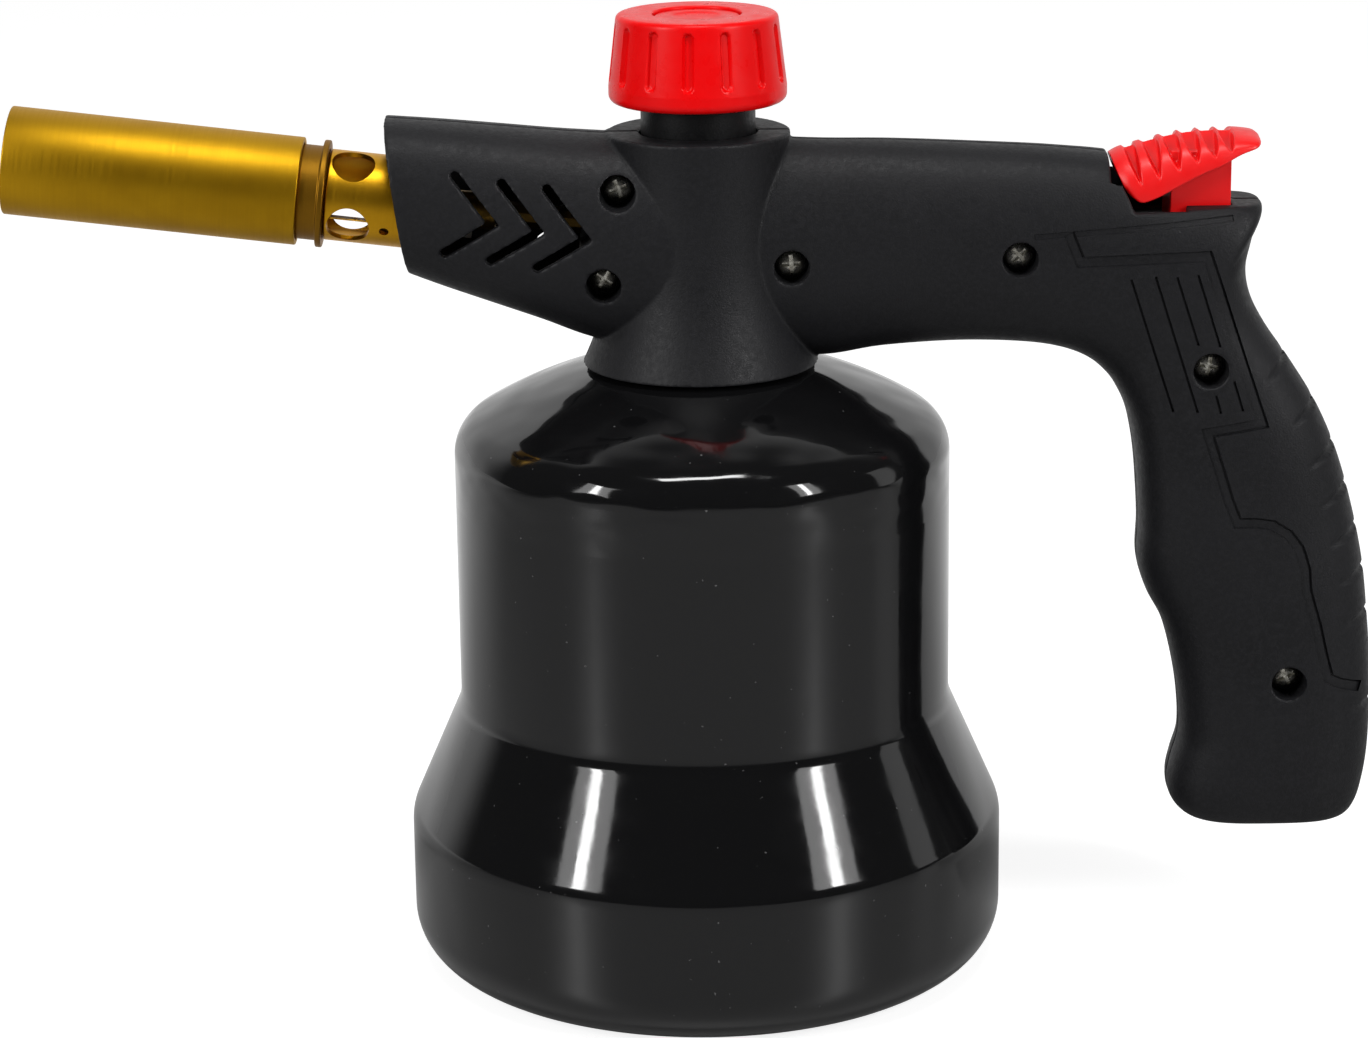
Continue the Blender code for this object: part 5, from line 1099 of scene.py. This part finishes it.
def make_tube():
    spigot_s = flange_s - SEAT_GAP
    radii = [SPIGOT_R - TUBE_WALL, SPIGOT_R, TUBE_R, TUBE_R - TUBE_WALL]
    profile = stairs(radii, [spigot_s + NECK_L, spigot_s, tube_s, spigot_s])
    tube = burner_piece("air_tube", profile, STEPS_COLUMN)
    air_s = mouth_s + AIR_HOLE_AHEAD
    pin_s = mouth_s + PIN_HOLE_AHEAD
    reach = TUBE_R + OVERRUN / 4
    start = SPIGOT_R / 2
    ends = [(along_burner(air_s, start, a), along_burner(air_s, reach, a)) for a in AIR_HOLE_DEGS]
    air = rods("air_holes", ends, AIR_HOLE_R, STEPS_BORE)
    pin_ends = [along_burner(pin_s, r, AIR_HOLE_DEGS[1]) for r in (SPIGOT_R * 0.9, reach)]
    pin = rods("fixing_hole", [pin_ends], PIN_HOLE_R, STEPS_PIN)
    return as_piece(combine(tube, [air, pin]))


def make_collar():
    heights = [flange_s + NECK_L, flange_s + FLANGE_T, flange_s]
    profile = stairs([NECK_R - NECK_WALL, NECK_R, FLANGE_R], heights)
    return as_piece(burner_piece("flange_collar", profile))


def make_cup():
    profile = stairs([NECK_R + SEAT_GAP, CUP_R], [cup_end_s, cup_s])
    return as_piece(burner_piece("flame_tube", profile, STEPS_CUP))


def make_flame_holder():
    front = cup_end_s - FLAME_HOLDER_INSET
    back = front - FLAME_HOLDER_T
    disc = burner_piece("flame_disc", stairs([FLAME_BORE_R, NECK_R], [front, back]))
    ends = []
    for number in range(FLAME_PORTS):
        place = (FLAME_PORT_CIRCLE_R, 360.0 * number / FLAME_PORTS)
        ends.append((along_burner(back - OVERRUN, *place), along_burner(front + OVERRUN, *place)))
    return as_piece(combine(disc, [rods("flame_ports", ends, FLAME_PORT_R, STEPS_PORT)]))


def make_jet_holder():
    flange_front = tube_s - SEAT_GAP
    flange_back = flange_front - HOLDER_FLANGE_T
    radii = [JET_R + SEAT_GAP, TUBE_R - TUBE_WALL - SEAT_GAP, HOLDER_FLANGE_R]
    radii += [HOLDER_SPIGOT_R, PIPE_R + SEAT_GAP, PIPE_BORE_R]
    heights = [holder_s, flange_front, flange_back, flange_back - HOLDER_SPIGOT_L]
    heights += [flange_back, holder_s - JET_SINK]
    holder = burner_piece("jet_mount", stairs(radii, heights))
    spots = (tube_s - HOLDER_FLANGE_T - OVERRUN, holder_s + OVERRUN)
    ends = [along_burner(s, ELECTRODE_OFFSET, -90.0 - ELECTRODE_PHASE_DEG) for s in spots]
    return as_piece(combine(holder, [rods("insulator_hole", [ends], INSULATOR_R + SEAT_GAP)]))


def make_jet():
    front = holder_s + JET_STICKS_OUT
    back = holder_s - JET_SINK + SEAT_GAP
    profile = [(JET_BORE_R, front), (JET_R * 0.6, front), (JET_R, holder_s)]
    profile += [(JET_R, back), (JET_BORE_R, back)]
    return as_piece(burner_piece("jet_nozzle", profile, STEPS_SMALL, EDGE_EASE / 2))


class Wiring:
    """Adds nodes to a tree. A value may be a number, a colour or another node's socket."""

    def __init__(self, tree):
        self.tree = tree

    def put(self, socket, value):
        if isinstance(value, bpy.types.NodeSocket):
            self.tree.links.new(value, socket)
        else:
            socket.default_value = value

    def node(self, kind, **values):
        """A node whose capitalised values are its inputs, and the others its settings."""
        made = self.tree.nodes.new("ShaderNode" + kind)
        for key, value in values.items():
            if key[0].isupper():
                self.put(made.inputs[key.replace("_", " ")], value)
            else:
                setattr(made, key, value)
        return made

    def math(self, operation, *values):
        made = self.node("Math", operation=operation)
        for socket, value in zip(made.inputs, values):
            self.put(socket, value)
        return made.outputs["Value"]

    def span(self, source, low, high, from_low=0.3, from_high=0.7, curve="LINEAR"):
        """The source's range between two values, spread from low to high."""
        ends = {"From_Min": from_low, "From_Max": from_high, "To_Min": low, "To_Max": high}
        made = self.node("MapRange", interpolation_type=curve, **ends, Value=source)
        return made.outputs["Result"]

    def axis(self, coordinates, name):
        place = self.node("TexCoord").outputs[coordinates]
        return self.node("SeparateXYZ", Vector=place).outputs[name]

    def rays(self):
        """Camera rays, and rays that mirror or pass through something."""
        path = self.node("LightPath").outputs
        mirrored = self.math("MAXIMUM", path["Is Glossy Ray"], path["Is Transmission Ray"])
        return path["Is Camera Ray"], mirrored


class Finish(Wiring):
    """A Principled material varied by procedural nodes."""

    def __init__(self, name, colour, roughness, metallic=0.0):
        self.material = bpy.data.materials.new(name)
        self.material.use_nodes = True
        super().__init__(self.material.node_tree)
        self.inputs = self.tree.nodes["Principled BSDF"].inputs
        self.inputs["Base Color"].default_value = (*colour, 1.0)
        self.inputs["Roughness"].default_value = roughness
        self.inputs["Metallic"].default_value = metallic

    def noise(self, scale, detail=2.0, stretch=(1.0, 1.0, 1.0), roughness=0.5):
        """Noise in the piece's own coordinates."""
        place = self.node("TexCoord").outputs["Object"]
        place = self.node("Mapping", Scale=stretch, Vector=place).outputs["Vector"]
        sizes = {"Scale": scale, "Detail": detail, "Roughness": roughness}
        return self.node("TexNoise", Vector=place, **sizes).outputs["Fac"]

    def tint(self, share, colour):
        """Mixes another colour over the present one."""
        mix = self.node("Mix", data_type="RGBA", Factor=share)
        present = self.inputs["Base Color"]
        first, second = [socket for socket in mix.inputs if socket.type == "RGBA"]
        before = present.links[0].from_socket if present.links else present.default_value[:]
        self.put(first, before)
        self.put(second, (*colour, 1.0))
        self.put(present, [socket for socket in mix.outputs if socket.type == "RGBA"][0])

    def rough(self, share, low, high):
        self.put(self.inputs["Roughness"], self.span(share, low, high))

    def bump(self, height, distance, strength=1.0):
        made = self.node("Bump", Strength=strength, Distance=distance, Height=height)
        for link in self.inputs["Normal"].links:
            self.put(made.inputs["Normal"], link.from_socket)
        self.put(self.inputs["Normal"], made.outputs["Normal"])


def black_paint():
    """Sprayed gloss enamel: deep black, wavy where the dome was drawn, with rare dust."""
    look = Finish("canister_enamel", (0.0035, 0.0035, 0.0038), 0.07)
    look.rough(look.noise(180.0, 3.0), 0.05, 0.11)
    crown = look.span(look.axis("Object", "Z"), 0.06, 1.0, shoulder_z - WAVE_BAND, shoulder_z)
    waves = look.math("MULTIPLY", look.noise(70.0, 1.0, (1.0, 1.0, 2.2)), crown)
    look.bump(waves, 0.0007, 1.0)
    look.bump(look.noise(700.0, 1.0), 0.000006, 0.5)
    look.tint(look.span(look.noise(1500.0, 0.0), 0.0, 0.35, 0.86, 0.89), (0.22, 0.22, 0.22))
    return look.material


def turned_brass(name, colour, darker, roughness):
    """Brass off the lathe: fine rings about the piece's own Z axis, with light tarnish."""
    look = Finish(name, colour, roughness, 1.0)
    tarnish = look.noise(60.0, 5.0, (1.0, 1.0, 1.0), 0.62)
    look.tint(look.span(tarnish, 0.0, 0.6, 0.45, 0.8), darker)
    rings = look.noise(130.0, 5.0, (0.06, 0.06, 12.0), 0.75)
    look.tint(look.span(rings, 0.0, 0.20), darker)
    look.rough(rings, roughness - 0.05, roughness + 0.07)
    look.bump(rings, 0.00001, 0.3)
    look.inputs["Anisotropic"].default_value = BRASS_ANISOTROPY
    tangent = look.node("Tangent", direction_type="RADIAL", axis="Z")
    look.put(look.inputs["Tangent"], tangent.outputs["Tangent"])
    return look.material


def grained(grain, name, colour, other, roughness, shine=0.5, scale=1.0):
    """A finish with one of the grains below, tinted towards another colour."""
    metallic, tints, gloss, bumps = grain
    look = Finish(name, colour, roughness, metallic)
    look.inputs["Specular IOR Level"].default_value = shine
    for size, detail, share, low, high in tints:
        look.tint(look.span(look.noise(size * scale, detail), 0.0, share, low, high), other)
    for size, less, more in gloss:
        look.rough(look.noise(size * scale, 3.0), roughness - less, roughness + more)
    for size, distance, strength in bumps:
        look.bump(look.noise(size * scale, 2.0), distance, strength)
    return look.material


# Grains: metallic, then rows for the tints (noise scale, detail, share, noise range), for
# the gloss (scale, less and more roughness) and for the bumps (scale, depth, strength)
MOULDED = (
    0.0,
    ((45.0, 4.0, 0.6, 0.3, 0.7), (1300.0, 2.0, 0.8, 0.42, 0.68)),
    ((900.0, 0.06, 0.07),),
    ((120.0, 0.00004, 0.35), (2600.0, 0.00007, 0.7)),
)
GLOSSY = (
    0.0,
    ((60.0, 3.0, 0.5, 0.3, 0.7),),
    ((400.0, 0.05, 0.07),),
    ((160.0, 0.00005, 0.3), (1800.0, 0.000015, 0.35)),
)
METAL = (
    1.0,
    ((500.0, 4.0, 0.8, 0.3, 0.7),),
    ((1000.0, 0.08, 0.12),),
    ((1500.0, 0.00004, 0.5),),
)
RUBBER = (0.0, ((150.0, 4.0, 0.5, 0.3, 0.7),), (), ((2500.0, 0.00003, 0.5),))

WAVE_BAND = 0.009
BRASS_ANISOTROPY = 0.6
RED, DEEP_RED = (0.78, 0.0010, 0.0020), (0.72, 0.0008, 0.0016)
JET_BLACK, SOOT = (0.0050, 0.0050, 0.0060), (0.0100, 0.0100, 0.0116)
DEEP_BLACK, DEEP_SOOT = (0.0035, 0.0035, 0.0040), (0.007, 0.007, 0.0075)
DARK, CHARCOAL = (0.010, 0.010, 0.011), (0.016, 0.016, 0.017)
LACQUER, DULL_LACQUER = (0.55, 0.57, 0.58), (0.45, 0.47, 0.48)
GLAZE, DULL_GLAZE = (0.78, 0.76, 0.70), (0.68, 0.65, 0.58)
STEEL, DULL_STEEL = (0.60, 0.60, 0.58), (0.42, 0.42, 0.41)
ZINC, DULL_ZINC = (0.88, 0.86, 0.78), (0.30, 0.28, 0.22)
GREY, PALE_GREY = (0.20, 0.20, 0.21), (0.26, 0.26, 0.27)
LEAD_BLACK, LEAD_GREY = (0.03, 0.03, 0.03), (0.05, 0.05, 0.05)
SOFT_BLACK, SOFT_GREY = (0.012, 0.012, 0.012), (0.024, 0.024, 0.024)

LOOKS = {
    "canister_paint": black_paint(),
    "base_plastic": grained(MOULDED, "base_plastic", DARK, CHARCOAL, 0.5),
    "rubber": grained(RUBBER, "black_rubber", SOFT_BLACK, SOFT_GREY, 0.75),
    "cartridge_paint": grained(GLOSSY, "cartridge_lacquer", LACQUER, DULL_LACQUER, 0.32),
    "inner_steel": grained(METAL, "zinc_steel", STEEL, DULL_STEEL, 0.34),
    "sleeve_plastic": grained(MOULDED, "sleeve_plastic", DEEP_BLACK, DEEP_SOOT, 0.42, 0.25),
    "knob_plastic": grained(GLOSSY, "knob_red", RED, DEEP_RED, 0.30, 0.17),
    "button_plastic": grained(GLOSSY, "button_red", RED, DEEP_RED, 0.38, 0.45),
    "zinc_screws": grained(METAL, "screw_zinc", ZINC, DULL_ZINC, 0.30, scale=1.8),
    "housing_plastic": grained(MOULDED, "housing_black", JET_BLACK, SOOT, 0.52, 0.25),
    "grey_plastic": grained(MOULDED, "igniter_grey", GREY, PALE_GREY, 0.45),
    "lead_insulation": grained(MOULDED, "lead_skin", LEAD_BLACK, LEAD_GREY, 0.45),
    "ceramic": grained(GLOSSY, "white_ceramic", GLAZE, DULL_GLAZE, 0.32),
}
BRASSES = {
    # valve_brass is much darker than the other brasses: painted shade, so that the gas pipe seen
    # through the nose vents shows as dark as the shade inside the nose
    "valve_brass": ((0.22, 0.13, 0.03), (0.12, 0.07, 0.02), 0.42),
    "spindle_brass": ((0.66, 0.42, 0.10), (0.45, 0.28, 0.06), 0.28),
    "jet_brass": ((0.55, 0.32, 0.06), (0.34, 0.19, 0.03), 0.32),
    "tube_brass": ((0.70, 0.36, 0.014), (0.45, 0.22, 0.008), 0.32),
    "collar_brass": ((0.27, 0.13, 0.010), (0.14, 0.065, 0.006), 0.40),
    "cup_brass": ((0.53, 0.29, 0.010), (0.34, 0.17, 0.006), 0.40),
    "holder_brass": ((0.50, 0.30, 0.06), (0.28, 0.16, 0.04), 0.38),
}
for slot, colours_and_roughness in BRASSES.items():
    LOOKS[slot] = turned_brass(slot, *colours_and_roughness)

record = frame["record"]
SLOT_OF = {row["node"]: row["material_slot"] for row in record["subparts"]}
BODIES = record["behaviour"]["bodies"]
BODY_OF = {node: body for body, names in BODIES.items() for node in names}


def finish_frame_nodes():
    for name, obj in frame["nodes"].items():
        look = LOOKS[SLOT_OF[name]]
        if not obj.material_slots:
            obj.data.materials.append(look)
        for place in obj.material_slots:
            place.material = look


def dress(piece, node):
    """The piece stands for a CAD node: same body, same slot, same finish."""
    slot = SLOT_OF[node]
    piece.data.materials.clear()
    piece.data.materials.append(LOOKS[slot])
    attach(piece, BODY_OF[node])
    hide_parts(node)


def dress_torch():
    dress(make_canister(), "canister")
    dress(make_base_cap(), "base_cap")
    dress(make_sleeve(), "valve_sleeve")
    dress(make_knob(), "knob")
    dress(make_knob_cap(), "knob_cap")
    dress(make_button(), "ignition_button")
    for half, node in zip(make_housing(), ("housing_front", "housing_rear")):
        dress(half, node)
    for number, place in enumerate(SCREW_PLACES):
        dress(make_screw(number, place), f"housing_screw_{number + 1}")
    dress(make_tube(), "burner_tube")
    dress(make_collar(), "burner_collar")
    dress(make_cup(), "burner_cup")
    dress(make_flame_holder(), "flame_holder")
    dress(make_jet_holder(), "jet_holder")
    dress(make_jet(), "gas_jet")


# Camera
CAMERA_PLACE = (-0.0036, -0.722, 0.293)
CAMERA_PITCH_DEG = 15.99
CAMERA_ROLL_DEG = 0.762
CAMERA_LENS_MM = 103.26
SENSOR_MM = 36.0

# Studio: level of the world seen in reflections, in front of the torch and behind it
FRONT_LEVEL = 0.07
BACK_LEVEL = 1.0
BACK_START = 0.22
BACK_END = 0.55
FILL_LEVEL = 0.36
FLOOR_SIZE = 8.0
FLOOR_DROP = 0.0001
FLOOR_COLOUR = (0.42, 0.42, 0.42)
FLOOR_GLOSS = 0.34
FLOOR_WHITE = 0.83
FLOOR_GLOW = 0.50
GLOW_START = 0.02
GLOW_END = 0.30
LOOK_AT = (0.0, 0.0, 0.09)

# Lights: degrees from the front to the right, degrees up, distance, size and power
STRIP_REACH = 1.1
LIGHTS = {
    "left_core": (-50.5, 26.5, STRIP_REACH, (0.09, 0.50), 3.4),
    "left_box": (-50.5, 26.5, STRIP_REACH * 1.05, (0.36, 0.55), 2.4),
    "right_core": (50.5, 26.5, STRIP_REACH, (0.09, 0.50), 3.4),
    "right_box": (50.5, 26.5, STRIP_REACH * 1.05, (0.36, 0.55), 2.4),
    "side_box": (90.0, 14.0, STRIP_REACH, (0.22, 0.55), 0.32),
}
TOP_LIGHT = ((0.0, -0.26, 1.02), (0.50, 0.12), 4.0)


def add_area_light(name, place, size, power):
    data = bpy.data.lights.new(name, "AREA")
    data.shape = "RECTANGLE"
    data.size, data.size_y = size
    data.energy = power
    light = add_object(name, data, STUDIO)
    light.location = place
    aim = Vector(LOOK_AT) - Vector(place)
    light.rotation_euler = aim.to_track_quat("-Z", "Y").to_euler()
    light.visible_camera = False


def build_lights():
    for name, (turn_deg, rise_deg, reach, size, power) in LIGHTS.items():
        turn, rise = radians(turn_deg), radians(rise_deg)
        ray = Vector((sin(turn) * cos(rise), -cos(turn) * cos(rise), sin(rise)))
        add_area_light(name, Vector(LOOK_AT) + ray * reach, size, power)
    add_area_light("top_light", *TOP_LIGHT)


def build_world():
    """White behind the torch, dark in front of it, and an even fill."""
    world = bpy.data.worlds.new("studio_world")
    bpy.context.scene.world = world
    world.use_nodes = True
    world.node_tree.nodes.clear()
    wiring = Wiring(world.node_tree)
    seen, mirrored = wiring.rays()
    levels = (FRONT_LEVEL - FILL_LEVEL, BACK_LEVEL - FILL_LEVEL)
    back = wiring.axis("Generated", "Y")
    back = wiring.span(back, *levels, BACK_START, BACK_END, "SMOOTHSTEP")
    total = wiring.math("MULTIPLY_ADD", back, mirrored, FILL_LEVEL)
    background = wiring.node("Background", Strength=wiring.math("MAXIMUM", total, seen))
    wiring.node("OutputWorld", Surface=background.outputs["Background"])


def build_floor():
    """Pale floor, white to the camera and in reflections from behind the torch."""
    bm = bmesh.new()
    bmesh.ops.create_grid(bm, x_segments=1, y_segments=1, size=FLOOR_SIZE / 2)
    floor = solid(bm, "floor", STUDIO)
    floor.location.z = -FLOOR_DROP
    look = Finish("pale_floor", FLOOR_COLOUR, FLOOR_GLOSS)
    look.inputs["Emission Color"].default_value = (1.0, 1.0, 1.0, 1.0)
    seen, mirrored = look.rays()
    sheen = look.math("MULTIPLY", look.math("SUBTRACT", 1.0, seen), 0.5)
    look.put(look.inputs["Specular IOR Level"], sheen)
    behind = look.axis("Object", "Y")
    behind = look.span(behind, 0.0, FLOOR_GLOW, GLOW_START, GLOW_END, "SMOOTHSTEP")
    glow = look.math("MULTIPLY", mirrored, behind)
    white = look.math("MULTIPLY", seen, FLOOR_WHITE)
    look.put(look.inputs["Emission Strength"], look.math("ADD", glow, white))
    floor.data.materials.append(look.material)


def build_camera():
    data = bpy.data.cameras.new("camera")
    data.lens = CAMERA_LENS_MM
    data.sensor_width = SENSOR_MM
    camera = add_object("camera", data, STUDIO)
    pitch = Matrix.Rotation(radians(90.0 - CAMERA_PITCH_DEG), 4, "X")
    roll = Matrix.Rotation(-radians(CAMERA_ROLL_DEG), 4, "Z")
    camera.matrix_world = Matrix.Translation(CAMERA_PLACE) @ pitch @ roll
    bpy.context.scene.camera = camera


bpy.context.scene.view_settings.view_transform = "Standard"
build_camera()
finish_frame_nodes()
dress_torch()
remove_cutters()
build_world()
build_floor()
build_lights()

bpy.context.view_layer.update()
